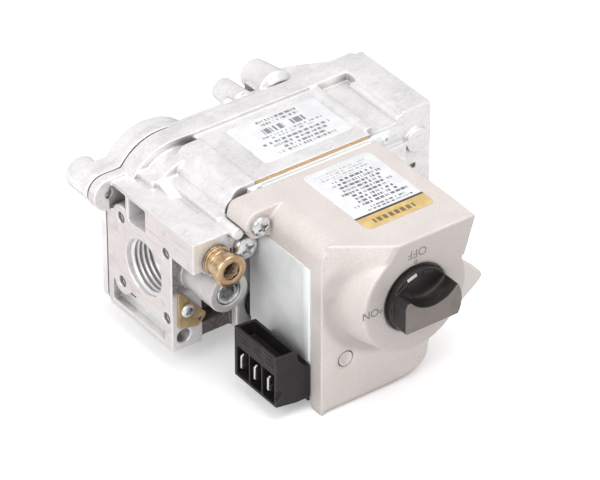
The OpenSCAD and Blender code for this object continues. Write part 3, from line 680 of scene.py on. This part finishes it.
def mat_label(name, kind):
    """Printed film: rows of plain dashes, no letters."""
    m = Mat(name)
    paper = m.mix(m.step(m.noise(5, 3, 0.5), 0.4, 0.7), (0.72, 0.73, 0.745), (0.80, 0.805, 0.815))
    ink = (0.11, 0.11, 0.125)

    def rows(y0, y1, pitch, x0, x1, dash, seed, fill=0.5, keep=0.42):
        r = m.f("DIVIDE", m.f("SUBTRACT", m.y, y0), pitch)
        ri = m.f("FLOOR", r)
        fr = m.f("FRACT", r)
        line = m.span(fr, 0.5 - fill / 2, 0.5 + fill / 2)
        ci = m.f("FLOOR", m.f("DIVIDE", m.x, dash))
        ch = m.f("GREATER_THAN", m.white(m.vec(ci, ri, seed)), keep)
        half = m.lerp(m.white(m.vec(ri, seed, 3.0)), 0.55, 1.0)
        mid, w = (x0 + x1) / 2, (x1 - x0) / 2
        inside = m.f("LESS_THAN", m.f("ABSOLUTE", m.f("SUBTRACT", m.x, mid)), m.f("MULTIPLY", half, w))
        # gaps between words
        wi = m.f("FLOOR", m.f("DIVIDE", m.x, dash * 5.3))
        word = m.f("GREATER_THAN", m.f("FRACT", m.f("DIVIDE", m.f("ADD", m.x, m.f("MULTIPLY", ri, 1.7)), dash * 5.3)), 0.16)
        zone = m.span(m.y, y0, y1)
        return m.f("MULTIPLY", m.f("MULTIPLY", m.f("MULTIPLY", line, ch), m.f("MULTIPLY", inside, word)), zone)

    if kind == "rating":
        c = paper
        k = m.f("ADD", rows(-12.6, -3.9, 2.15, 45, 76, 0.46, 1.0, 0.60, 0.30), rows(4.6, 9.0, 2.1, 48, 74, 0.46, 2.0, 0.60, 0.30))
        bars = m.f("GREATER_THAN", m.white(m.vec(m.f("FLOOR", m.f("DIVIDE", m.x, 0.45)), 7.0, 1.0)), 0.45)
        b = m.f("MULTIPLY", bars, m.f("MULTIPLY", m.span(m.y, 0.2, 3.4), m.f("ADD", m.span(m.x, 50.5, 60.0), m.span(m.x, 63.0, 68.5))))
        b2 = m.f("MULTIPLY", rows(-3.6, -0.6, 1.5, 47, 74, 0.36, 5.0, 0.5), 1.0)
        k = m.f("ADD", m.f("ADD", k, b), b2, clamp=True)
        c = m.mix(m.f("MULTIPLY", k, 0.80), c, ink)
    else:
        c = paper
        k = m.f("ADD", rows(-58.2, -55.2, 1.5, 50, 72, 0.36, 4.0, 0.55, 0.30), rows(-54.6, -36.0, 2.0, 49, 71, 0.40, 6.0, 0.60, 0.30), clamp=True)
        k = m.f("ADD", k, m.f("MULTIPLY", rows(-35.6, -31.0, 1.5, 47, 70, 0.34, 9.0, 0.45), 0.6), clamp=True)
        c = m.mix(m.f("MULTIPLY", k, 0.92), c, ink)
        yel = m.f("LESS_THAN", m.y, -59.9)
        yc = m.mix(m.step(m.noise(4, 3, 0.5), 0.4, 0.7), (0.56, 0.385, 0.135), (0.66, 0.475, 0.19))
        c = m.mix(yel, c, yc)
        bar = m.f("MULTIPLY", m.span(m.y, -64.6, -62.2), m.f("MULTIPLY", m.span(m.x, 49.5, 66.5), m.f("GREATER_THAN", m.f("FRACT", m.f("DIVIDE", m.x, 2.4)), 0.34)))
        c = m.mix(m.f("MULTIPLY", bar, 0.85), c, (0.10, 0.07, 0.04))
        c = m.mix(m.span(m.y, -59.9, -58.9), c, (0.03, 0.028, 0.028))
    c = m.mix(m.f("MULTIPLY", m.edge(0.4), 0.2), c, (0.80, 0.80, 0.80))
    n = m.bump(m.noise(0.7, 2, 0.5), 0.15, 0.02)
    return m.done(c, 0.38, 0.0, n, spec=0.5, coat=0.25, coat_rough=0.25)


CAST = mat_cast("cast_aluminium")
CAST2 = mat_cast("cast_aluminium_cover", port_faces=False)
HOUSE = mat_housing("housing_grey")
PLATE = mat_plate("zinc_plate_blue")
BLACK = mat_plastic("black_plastic", (0.010, 0.0085, 0.0085), (0.019, 0.016, 0.0155), 0.46, 0.22, 0.70, 0.35)
KNOBM = mat_plastic("knob_black", (0.011, 0.0095, 0.009), (0.022, 0.019, 0.018), 0.40, 0.30, 0.45, 0.40, (0.26, 0.225, 0.205))
ZINC = mat_metal("zinc_steel", (0.66, 0.67, 0.68), (0.88, 0.89, 0.90), 0.22)
STEEL = mat_metal("bright_steel", (0.60, 0.61, 0.63), (0.80, 0.81, 0.82), 0.26)
SPRING = mat_metal("spring_steel", (0.42, 0.43, 0.46), (0.60, 0.61, 0.64), 0.30)
BRASS = mat_metal("brass", (0.52, 0.36, 0.21), (0.88, 0.67, 0.42), 0.24, 1.0, "y", (8.9, 0, 17.1), (0.34, 0.20, 0.11), painted_hollow_shade_mm=7.0)
BRASS2 = mat_metal("brass_inner", (0.62, 0.42, 0.20), (0.80, 0.60, 0.34), 0.30)
GROUND = mat_metal("ground_brass", (0.58, 0.42, 0.23), (0.76, 0.58, 0.34), 0.42, 0.80, tarnish=(0.34, 0.22, 0.12))
TIN = mat_metal("tinned_tabs", (0.72, 0.71, 0.69), (0.93, 0.92, 0.90), 0.24)
RUBBER = mat_plastic("rubber", (0.010, 0.010, 0.011), (0.018, 0.018, 0.019), 0.62, 0.35)
TAN = mat_sheet("tan_gasket", (0.36, 0.235, 0.13), (0.60, 0.42, 0.25))
SEAM = mat_sheet("seam_gasket", (0.050, 0.046, 0.046), (0.095, 0.088, 0.086))
COIL = mat_sheet("coil_tape", (0.20, 0.06, 0.025), (0.30, 0.10, 0.045), 0.45, 0.25)
ROTOR = mat_plastic("rotor_resin", (0.48, 0.38, 0.20), (0.60, 0.50, 0.30), 0.45, 0.3, 0.2)
LABEL_R = mat_label("label_white", "rating")
LABEL_S = mat_label("label_safety", "safety")
POINTER = mat_plastic("pointer_mark", (0.56, 0.53, 0.52), (0.70, 0.67, 0.66), 0.5, 0.3, 0.1)
MARK = mat_plastic("dial_marks", (0.20, 0.175, 0.165), (0.26, 0.23, 0.22), 0.5, 0.3, 0.1)

BY_SLOT = {"cast_aluminium": CAST2, "seam_gasket": SEAM, "zinc_steel": ZINC, "rubber": RUBBER, "bright_steel": STEEL,
           "spring_steel": SPRING, "tan_gasket": TAN, "zinc_plate": PLATE, "housing_grey": HOUSE, "black_plastic": BLACK,
           "knob_black": KNOBM, "tinned_tabs": TIN, "coil_tape": COIL, "rotor_resin": ROTOR, "brass": BRASS2,
           "ground_brass": GROUND, "label_white": LABEL_R, "label_safety": LABEL_S}
for n, ob in NODES.items():
    mat = BY_SLOT[SLOT_OF[n]]
    ob.data.materials.clear()
    ob.data.materials.append(mat)


# ---------------------------------------------------------------- cast body
def cast_piece(name, node, voxel, mat, extra=(), cuts=(), keep_flat=None, rough=0.05, tris=190000, shape=None, steps=5):
    V, T = cad_arrays(node)
    if cuts:
        V, T = boolean(V, T, cuts)
    V, F = join([(V, T)] + list(extra)) if extra else (V, T)
    V, F = remesh(V, F, voxel)
    E = edges_of(F)
    V = relax(V, E, steps)
    if shape:
        V = shape(V, F, E)
    N = normals_of(V, F)
    w = np.ones(len(V)) if keep_flat is None else keep_flat(V, N)
    d = 0.55 * lattice(V, 7.0, 3) + 0.30 * lattice(V, 2.6, 5) + 0.25 * lattice(V, 1.1, 9)
    V = V + N * (d * w * rough)[:, None]
    return piece(name, V, F, "root", mat, replaces=(node,), tris=tris)


def flat_ports(V, N):
    near = (V[:, 0] < 0.8) & (V[:, 1] < 22) | (V[:, 0] > 107.2)
    return np.where(near, 0.0, 1.0)


# small cast details that belong to the body
tip = []
tip.append(outward(*revolve("x", (0, -7.4, 19.4), [(1.0, 0), (1.0, 2.5), (-0.02, 2.5), (-0.05, 2.1), (0.25, 1.6), (0.3, 0)], 40)))
cast_piece("body_casting", "valve_body", 0.38, CAST, extra=tip, keep_flat=flat_ports, rough=0.07, steps=4)
cast_piece("rear_cover_casting", "rear_cover", 0.45, CAST2, rough=0.09, tris=120000)


# ---------------------------------------------------------------- control housing: soft blends round the dial boss
DY = lohi("control_housing")[0][1]          # dial plane


def shape_housing(V, F, E):
    cx, cz = 54.8, 11.2
    r = np.hypot(V[:, 0] - cx, V[:, 2] - cz)
    outer = np.ones(len(V))
    # blend where the boss meets the front face and the flare, outside the shell only
    w = np.clip((-63.0 - V[:, 1]) / 2.0, 0, 1) * np.clip((V[:, 1] + 79.0) / 1.5, 0, 1)
    w *= np.clip((r - 17.5) / 2.0, 0, 1)
    w *= np.clip((34.0 - V[:, 2]) / 1.6, 0, 1) * np.clip((78.6 - V[:, 0]) / 1.5, 0, 1) * np.clip((V[:, 0] - 27.6) / 1.0, 0, 1)
    V = relax(V, E, 46, w, taubin=False)
    return V


cast_piece("housing_shell", "control_housing", 0.46, HOUSE, rough=0.045, shape=shape_housing, tris=190000)


# ---------------------------------------------------------------- soft-edged copies of simple parts
def soft(node, mat, width, name=None, deg=32):
    V, T = cad_arrays(node)
    return piece(name or node + "_part", V, [list(map(int, t)) for t in T], BODY_OF[node], mat, replaces=(node,), bevel=width, smooth_deg=deg)


soft("side_plate", PLATE, 0.25)
soft("control_plate", PLATE, 0.20)
soft("control_gasket", TAN, 0.10)
soft("terminal_tabs", TIN, 0.12)
soft("ground_plate", GROUND, 0.12)
soft("rating_label", LABEL_R, 0.05)
soft("safety_label", LABEL_S, 0.05)
soft("regulator_cap", HOUSE, 0.15)


# ---------------------------------------------------------------- thread ridges in the two ports
def thread(name, x0, x1, r_out, depth, pitch, flip, cy=0.0, cz=0.0, seg=72):
    V, F = [], []
    turns = (x1 - x0) / pitch
    n = int(turns * seg)
    prof = [(-0.46, 0.25), (-0.16, -0.78), (0.0, -0.98), (0.16, -0.78), (0.46, 0.25)]
    m = len(prof)
    for i in range(n + 1):
        a = 2 * math.pi * i / seg
        fade = min(1.0, i / 30.0, (n - i) / 30.0)
        for t, d in prof:
            r = r_out + (d * depth if d > 0 else d * depth * fade + 0.02 * (1 - fade))
            x = x0 + pitch * (i / seg + t * (0.4 + 0.6 * fade))
            V.append((x, cy + r * math.cos(a) * flip, cz + r * math.sin(a)))
    for i in range(n):
        for j in range(m):
            k = (j + 1) % m
            F.append((i * m + j, (i + 1) * m + j, (i + 1) * m + k, i * m + k))
    F.append(list(range(m)))
    F.append([n * m + j for j in range(m - 1, -1, -1)])
    V, F = outward(np.array(V), F)
    if name is None:
        return V, F
    return piece(name, V, F, "root", CAST2, smooth_deg=50)


pr = 10.6
thread("inlet_threads", 0.9, 16.0, pr, 1.0, 1.95, 1)
thread("outlet_threads", 92.0, 107.1, pr, 1.0, 1.95, 1)
for nm, xa, xb, rr in (("inlet_flange_threads", 0.9, 8.4, 2.1), ("outlet_flange_threads", 99.6, 107.1, 2.4)):
    parts = [thread(None, xa, xb, rr, 0.34, 0.9, 1, cy, cz, 24) for cy in (-13.3, 13.3) for cz in (-13.3, 13.3)]
    V, F = join(parts)
    piece(nm, V, F, "root", CAST2, smooth_deg=50)


# ---------------------------------------------------------------- screws
def screw_head(name, x, z, y, rh, hh, rs, length, out, body, slot, mat, kind="cross", replaces=(), washer=False):
    """Pan head screw along Y. out = -1 puts the head towards -Y."""
    s = out
    prof = [(0.0, 0.0)]
    top = []
    n = 14
    for k in range(n + 1):
        a = (math.pi / 2) * k / n
        top.append((s * (hh * 0.38 + hh * 0.62 * math.cos(a) ** 0.8 if k < n else s * s * hh * 0.38), rh * math.sin(a) ** 0.9))
    prof = [(top[0][0], 0.0)] + top[1:] + [(s * 0.25, rh), (s * 0.0, rh - 0.25), (0.0, rs), (-s * (length - 0.5), rs), (-s * length, rs * 0.6), (-s * length, 0.0)]
    V, F = outward(*revolve("y", (x, y, z), prof, 56))
    cut = []
    d = hh * 0.75
    if kind == "cross":
        for ang in (0.35, 0.35 + math.pi / 2):
            a, b = rh * 0.56, rh * 0.13
            pts = []
            for sx, sz in ((-a, -b), (a, -b), (a, b), (-a, b)):
                pts.append((x + sx * math.cos(ang) - sz * math.sin(ang), z + sx * math.sin(ang) + sz * math.cos(ang)))
            cut.append(prism("y", pts, *sorted((y + s * (hh - d), y + s * (hh + 1)))))
        cut.append(outward(*revolve("y", (x, y, z), [(s * (hh - d * 1.15), 0), (s * (hh - d * 1.15), rh * 0.14), (s * (hh + 1), rh * 0.42), (s * (hh + 1), 0)], 24)))
    elif kind == "hex":
        pts = [(x + rh * 0.58 * math.cos(math.radians(60 * k + 15)), z + rh * 0.58 * math.sin(math.radians(60 * k + 15))) for k in range(6)]
        cut.append(prism("y", pts, *sorted((y + s * (hh - d), y + s * (hh + 1)))))
    V, F = boolean(V, F, cut)
    return V, F


def screws(name, specs, body, slot, mat, replaces, kind="cross"):
    parts = [screw_head(name, *sp, body, slot, mat, kind) for sp in specs]
    V, F = join(parts)
    return piece(name, V, F, body, mat, replaces=replaces, smooth_deg=34)


screws("housing_screw_heads", [(22.3, 29, -36.4, 3.6, 2.6, 1.85, 25.5, -1), (84, -14.5, -36.4, 3.6, 2.6, 1.85, 25.5, -1)], "root", "zinc_steel", ZINC, ("housing_screws",))
screws("cover_screw_heads", [(a, b, c, 3.1, 2.2, 1.6, l, 1) for a, b, c, l in
       ((-1.3, 20.5, 26, 7.2), (44, 29, 25.5, 14.5), (102, 27, 25.5, 14.5), (102, -19, 25.5, 14.5), (55, -19, 25.5, 14.5), (5, -19, 25.5, 14.5))],
       "root", "zinc_steel", ZINC, ("rear_cover_screws",))
screws("ground_screw_head", [(5.6, -9.7, -17.3, 2.6, 1.9, 1.15, 7.3, -1)], "root", "zinc_steel", ZINC, ("ground_screw",))
screws("pilot_adjuster_cap_head", [(21.2, 16.8, -29, 4.5, 2.8, 3.5, 3, -1)], "root", "zinc_steel", ZINC, ("pilot_adjust_cap",))


# ---------------------------------------------------------------- turned brass pilot outlet
def turned(name, axis, centre, prof, body, slot, mat, replaces=(), cuts=(), seg=96, deg=40):
    V, F = outward(*revolve(axis, centre, prof, seg, closed=abs(prof[0][1]) > 1e-9))
    if cuts:
        V, F = boolean(V, F, cuts)
    return piece(name, V, F, body, mat, replaces=replaces, smooth_deg=deg)


fit = [(-18, 2.2), (-18, 3.3), (-18.25, 3.55), (-29.68, 3.55)]
y = -29.7
fit += [(y, 5.0), (y - 0.15, 5.25), (y - 0.45, 5.3)]
for k in range(3):
    a = y - 0.5 - 0.42 * k
    fit += [(a, 5.3), (a - 0.10, 5.08), (a - 0.20, 5.08), (a - 0.30, 5.3)]
fit += [(y - 1.85, 5.28), (y - 2.0, 5.1), (y - 2.05, 4.72), (-33.2, 4.70), (-33.38, 4.55), (-33.38, 3.25), (-31, 3.25), (-31, 2.2)]
turned("pilot_outlet_fitting", "y", (8.9, 0, 17.1), fit, "root", "brass", BRASS, ("pilot_fitting",))
nut = [(-33.42, 4.45), (-33.42, 4.72), (-33.6, 4.9), (-35.0, 4.82), (-35.5, 4.95), (-36.1, 5.5), (-36.45, 5.9), (-36.7, 6.0), (-38.9, 6.0), (-39.2, 5.88), (-39.4, 5.55),
       (-39.4, 3.55), (-39.3, 3.32), (-39.1, 3.27)]
for k in range(7):
    a = -38.6 + 0.5 * k
    nut += [(a, 3.27), (a + 0.12, 3.45), (a + 0.30, 3.45), (a + 0.42, 3.27)]
nut += [(-34.6, 3.27), (-33.6, 4.2)]
turned("pilot_outlet_nut", "y", (8.9, 0, 17.1), nut, "root", "brass", BRASS, ("pilot_nut",))


# ---------------------------------------------------------------- hex socket plug in the inlet pressure tap
hexp = [(11.5 + 2.75 * math.cos(math.radians(60 * k + 30)), 4.4 + 2.75 * math.sin(math.radians(60 * k + 30))) for k in range(6)]
PLUG = mat_metal("plug_steel", (0.42, 0.42, 0.43), (0.80, 0.81, 0.82), 0.20, 1.0, "y", (11.5, 0, 4.4), painted_hollow_shade_mm=2.2)
turned("inlet_tap_plug_turned", "y", (11.5, 0, 4.4),
       [(-24.6, 0), (-24.6, 4.6), (-24.8, 4.75), (-33.2, 4.75), (-33.6, 4.62), (-33.95, 4.2), (-33.7, 3.7), (-33.6, 3.3), (-33.6, 0)],
       "root", "bright_steel", PLUG, ("inlet_tap_plug",), cuts=[prism("y", hexp, -35, -29.5)])


# ---------------------------------------------------------------- terminal block, moulded
def shape_block(V, F, E):
    return V


def terminal():
    V, T = cad_arrays("terminal_block")
    extra = []
    for i in range(3):
        y0 = -58.6 + 7.3 * i
        for k, (a, b) in enumerate(((0.6, 5.4), (1.2, 4.2), (0.6, 4.8))):
            extra.append(outward(*box(11.78, 12.3, y0 + a, y0 + b, -9.6 - 1.75 * k, -8.9 - 1.75 * k)))
    V, F = join([(V, T)] + extra)
    V, F = remesh(V, F, 0.2)
    E = edges_of(F)
    V = relax(V, E, 3)
    N = normals_of(V, F)
    V = V + N * (0.012 * lattice(V, 1.2, 4))[:, None]
    piece("terminal_block_moulding", V, F, "root", BLACK, replaces=("terminal_block",), tris=90000)


terminal()


# ---------------------------------------------------------------- knob, sculpted
def knob():
    V, T = cad_arrays("knob")
    V, F = remesh(V, T, 0.24)
    E = edges_of(F)
    V = relax(V, E, 4)
    kx, kz = 54.8, 11.2
    dx, dz = V[:, 0] - kx, V[:, 2] - kz
    w = np.clip((dz - 0.4) / 1.5, 0, 1) * np.clip((V[:, 1] + 87.6) / 1.5, 0, 1) * np.clip((-81.9 - V[:, 1]) / 0.3, 0, 1)
    w *= np.clip((11.3 - np.hypot(dx, dz)) / 1.2, 0, 1)
    V = relax(V, E, 60, w, taubin=False)
    N = normals_of(V, F)
    V = V + N * (0.015 * lattice(V, 1.5, 8))[:, None]
    # clean D-shaped shaft hole
    bore = []
    for k in range(48):
        a = 2 * math.pi * k / 48
        bore.append((kx + 3.10 * math.cos(a), kz + min(3.10 * math.sin(a), 2.30)))
    V, F = boolean(V, F, [outward(*prism("y", bore, DY - 2.25, -75.0))])
    piece("knob_grip", V, F, "knob", KNOBM, replaces=("knob",), tris=120000)


knob()


def pointer():
    """Pale inlaid bar near the rim of the skirt."""
    c = np.array([51.35, 21.55])
    t = np.array([0.95, 0.316])
    u = np.array([-0.316, 0.95])
    pts = []
    for a, b in round_rect(-2.0, 2.0, -0.62, 0.62, 0.3, 4):
        q = c + t * a + u * b
        pts.append((q[0], q[1]))
    V, F = prism("y", pts, -82.56, -82.0)
    piece("knob_pointer_mark", V, F, "knob", POINTER, bevel=0.06, smooth_deg=35)
    # two low raised arcs moulded on the skirt
    for nm, a0, a1, r0, r1 in (("knob_skirt_step_a", 62, 84, 9.6, 11.4), ("knob_skirt_step_b", 122, 150, 9.2, 11.0)):
        ring = [(54.8 + r1 * math.cos(math.radians(a)), 11.2 + r1 * math.sin(math.radians(a))) for a in np.linspace(a0, a1, 9)]
        ring += [(54.8 + r0 * math.cos(math.radians(a)), 11.2 + r0 * math.sin(math.radians(a))) for a in np.linspace(a1, a0, 9)]
        V, F = prism("y", ring, -82.75, -82.1)
        piece(nm, V, F, "knob", KNOBM, bevel=0.08, smooth_deg=35)


pointer()


# ---------------------------------------------------------------- springs, built as coils that replace the model's spring parts
def coil(name, node, cx, cz, y0, y1, rm, w, n, joint, anchor, keep):
    seg, m = 30, 12
    total = int(n * seg)
    V, F = [], []
    span = y1 - y0 - 2.1 * w
    for i in range(total + 1):
        t = i / seg
        # closed end turns, open in the middle
        u = min(max((t - 0.6) / (n - 1.2), 0.0), 1.0)
        y = y0 + 1.05 * w + span * u
        a = 2 * math.pi * t
        for j in range(m):
            b = 2 * math.pi * j / m
            r = rm + w * 0.97 * math.cos(b)
            V.append((cx + r * math.cos(a), y + w * 0.97 * math.sin(b), cz + r * math.sin(a)))
    for i in range(total):
        for j in range(m):
            k = (j + 1) % m
            F.append((i * m + j, i * m + k, (i + 1) * m + k, (i + 1) * m + j))
    F.append(list(range(m - 1, -1, -1)))
    F.append([total * m + j for j in range(m)])
    V, F = outward(np.array(V), F)
    ob = piece(name, V, F, BODY_OF[node], SPRING, replaces=(node,), smooth_deg=60)
    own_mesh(ob)


def mid(node):
    lo, hi = lohi(node)
    return (lo[0] + hi[0]) / 2, (lo[2] + hi[2]) / 2


coil("main_valve_spring_coil", "main_valve_spring", *mid("main_valve_spring"), 22.8, 28.8, 7, 0.55, 3, "main_valve_lift", 28.8, 0.46)
for q in ("first", "second"):
    coil(q + "_plunger_spring_coil", q + "_plunger_spring", *mid(q + "_plunger_spring"), -49.2, -37, 1.9, 0.35, 8, q + "_plunger_slide", -49.2, 0.83)
coil("knob_spring_coil", "knob_spring", *mid("knob_spring"), -76, -68.8, 4.1, 0.45, 4, "knob_push", -68.8, 0.78)
coil("regulator_spring_coil", "regulator_spring", *mid("regulator_spring"), -47.8, -27.02, 3.1, 0.45, 7, "regulator_advance", -27.02, 0.90)


# ---------------------------------------------------------------- generic ON / OFF marks on the dial
def mark(name, text, x, z, size):
    cu = bpy.data.curves.new(name, "FONT")
    cu.body = text
    cu.size = size * MM
    cu.align_x = "CENTER"
    cu.align_y = "CENTER"
    cu.extrude = 0.03 * MM
    cu.bevel_depth = 0.02 * MM
    ob = bpy.data.objects.new(name, cu)
    scene.collection.objects.link(ob)
    ob.matrix_world = Matrix(((-1, 0, 0, x * MM), (0, 0, -1, (DY - 0.01) * MM), (0, -1, 0, z * MM), (0, 0, 0, 1)))
    bpy.context.view_layer.update()
    dg = bpy.context.evaluated_depsgraph_get()
    me = bpy.data.meshes.new_from_object(ob.evaluated_get(dg))
    me.transform(ob.matrix_world)
    bpy.data.objects.remove(ob)
    ob = bpy.data.objects.new(name, me)
    scene.collection.objects.link(ob)
    me.materials.clear()
    me.materials.append(MARK)
    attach(ob, "root")


mark("mark_on", "ON", 36.1, 11.9, 4.3)
mark("mark_off", "OFF", 55.2, 29.0, 4.5)
for nm, x, z in (("dot_on", 40.4, 11.2), ("dot_off", 54.6, 25.6)):
    V, F = outward(*revolve("y", (x, 0, z), [(DY - 0.05, 0.42), (DY - 0.05, 0.72), (DY + 0.3, 0.78), (DY + 0.3, 0.36)], 32, closed=True))
    piece(nm, V, F, "root", MARK, smooth_deg=40)


# ---------------------------------------------------------------- stage: floor, light, camera
def stage():
    z = CAD_BOX[0][2] - 0.0002
    me = bpy.data.meshes.new("floor")
    s = 6.0
    me.from_pydata([(-s, -s, z), (s, -s, z), (s, s, z), (-s, s, z)], [], [(0, 1, 2, 3)])
    ob = bpy.data.objects.new("floor", me)
    scene.collection.objects.link(ob)
    m = bpy.data.materials.new("floor_pale")
    m.use_nodes = True
    b = m.node_tree.nodes["Principled BSDF"]
    b.inputs["Base Color"].default_value = (0.80, 0.80, 0.80, 1)
    b.inputs["Roughness"].default_value = 0.85
    b.inputs["Specular IOR Level"].default_value = 0.2
    b.inputs["Emission Color"].default_value = (1, 1, 1, 1)
    lp = m.node_tree.nodes.new("ShaderNodeLightPath")
    gain = m.node_tree.nodes.new("ShaderNodeMath")
    gain.operation = "MULTIPLY"
    gain.inputs[1].default_value = 0.30
    m.node_tree.links.new(lp.outputs["Is Camera Ray"], gain.inputs[0])
    m.node_tree.links.new(gain.outputs[0], b.inputs["Emission Strength"])
    me.materials.append(m)

    w = bpy.data.worlds.new("studio")
    scene.world = w
    w.use_nodes = True
    t = w.node_tree
    bg = t.nodes["Background"]
    tc = t.nodes.new("ShaderNodeTexCoord")
    dot = t.nodes.new("ShaderNodeVectorMath")
    dot.operation = "DOT_PRODUCT"
    dot.inputs[1].default_value = (0.48, 0.66, 0.57)
    t.links.new(tc.outputs["Generated"], dot.inputs[0])
    mp = t.nodes.new("ShaderNodeMapRange")
    mp.interpolation_type = "SMOOTHSTEP"
    mp.inputs["From Min"].default_value = 0.70
    mp.inputs["From Max"].default_value = 1.0
    t.links.new(dot.outputs["Value"], mp.inputs["Value"])
    mx = t.nodes.new("ShaderNodeMix")
    mx.data_type = "RGBA"
    mx.inputs[6].default_value = (1.0, 0.99, 0.985, 1)
    mx.inputs[7].default_value = (0.76, 0.75, 0.78, 1)
    t.links.new(mp.outputs["Result"], mx.inputs[0])
    t.links.new(mx.outputs[2], bg.inputs["Color"])
    bg.inputs["Strength"].default_value = 0.76

    def area(name, loc, target, size, power, color=(1, 1, 1)):
        ld = bpy.data.lights.new(name, "AREA")
        ld.shape = "DISK"
        ld.size = size
        ld.energy = power
        ld.color = color
        lo = bpy.data.objects.new(name, ld)
        scene.collection.objects.link(lo)
        lo.location = loc
        lo.rotation_mode = "QUATERNION"
        lo.rotation_quaternion = (Vector(target) - Vector(loc)).to_track_quat("-Z", "Y")

    c = (0.05, -0.02, 0.0)
    area("softbox_left", (-0.85, -0.35, 0.75), c, 0.7, 5.2)
    area("softbox_top", (0.10, -0.25, 1.05), c, 0.8, 5.2)
    area("fill_front", (0.25, -1.1, 0.45), c, 0.7, 0.3)

    cam = bpy.data.cameras.new("camera")
    cam.sensor_width = 36.0
    cam.lens = 274.7
    cam.clip_start, cam.clip_end = 0.05, 20.0
    co = bpy.data.objects.new("camera", cam)
    scene.collection.objects.link(co)
    back = Vector((-0.48272, -0.66421, 0.57079)).normalized()
    tgt = Vector((0.021015, -0.061243, 0.037355))
    co.location = tgt + back * 1.5
    co.rotation_mode = "QUATERNION"
    co.rotation_quaternion = (-back).to_track_quat("-Z", "Y")
    scene.camera = co
    scene.view_settings.view_transform = "Standard"
    scene.view_settings.look = "None"
    scene.view_settings.exposure = 0.0


stage()
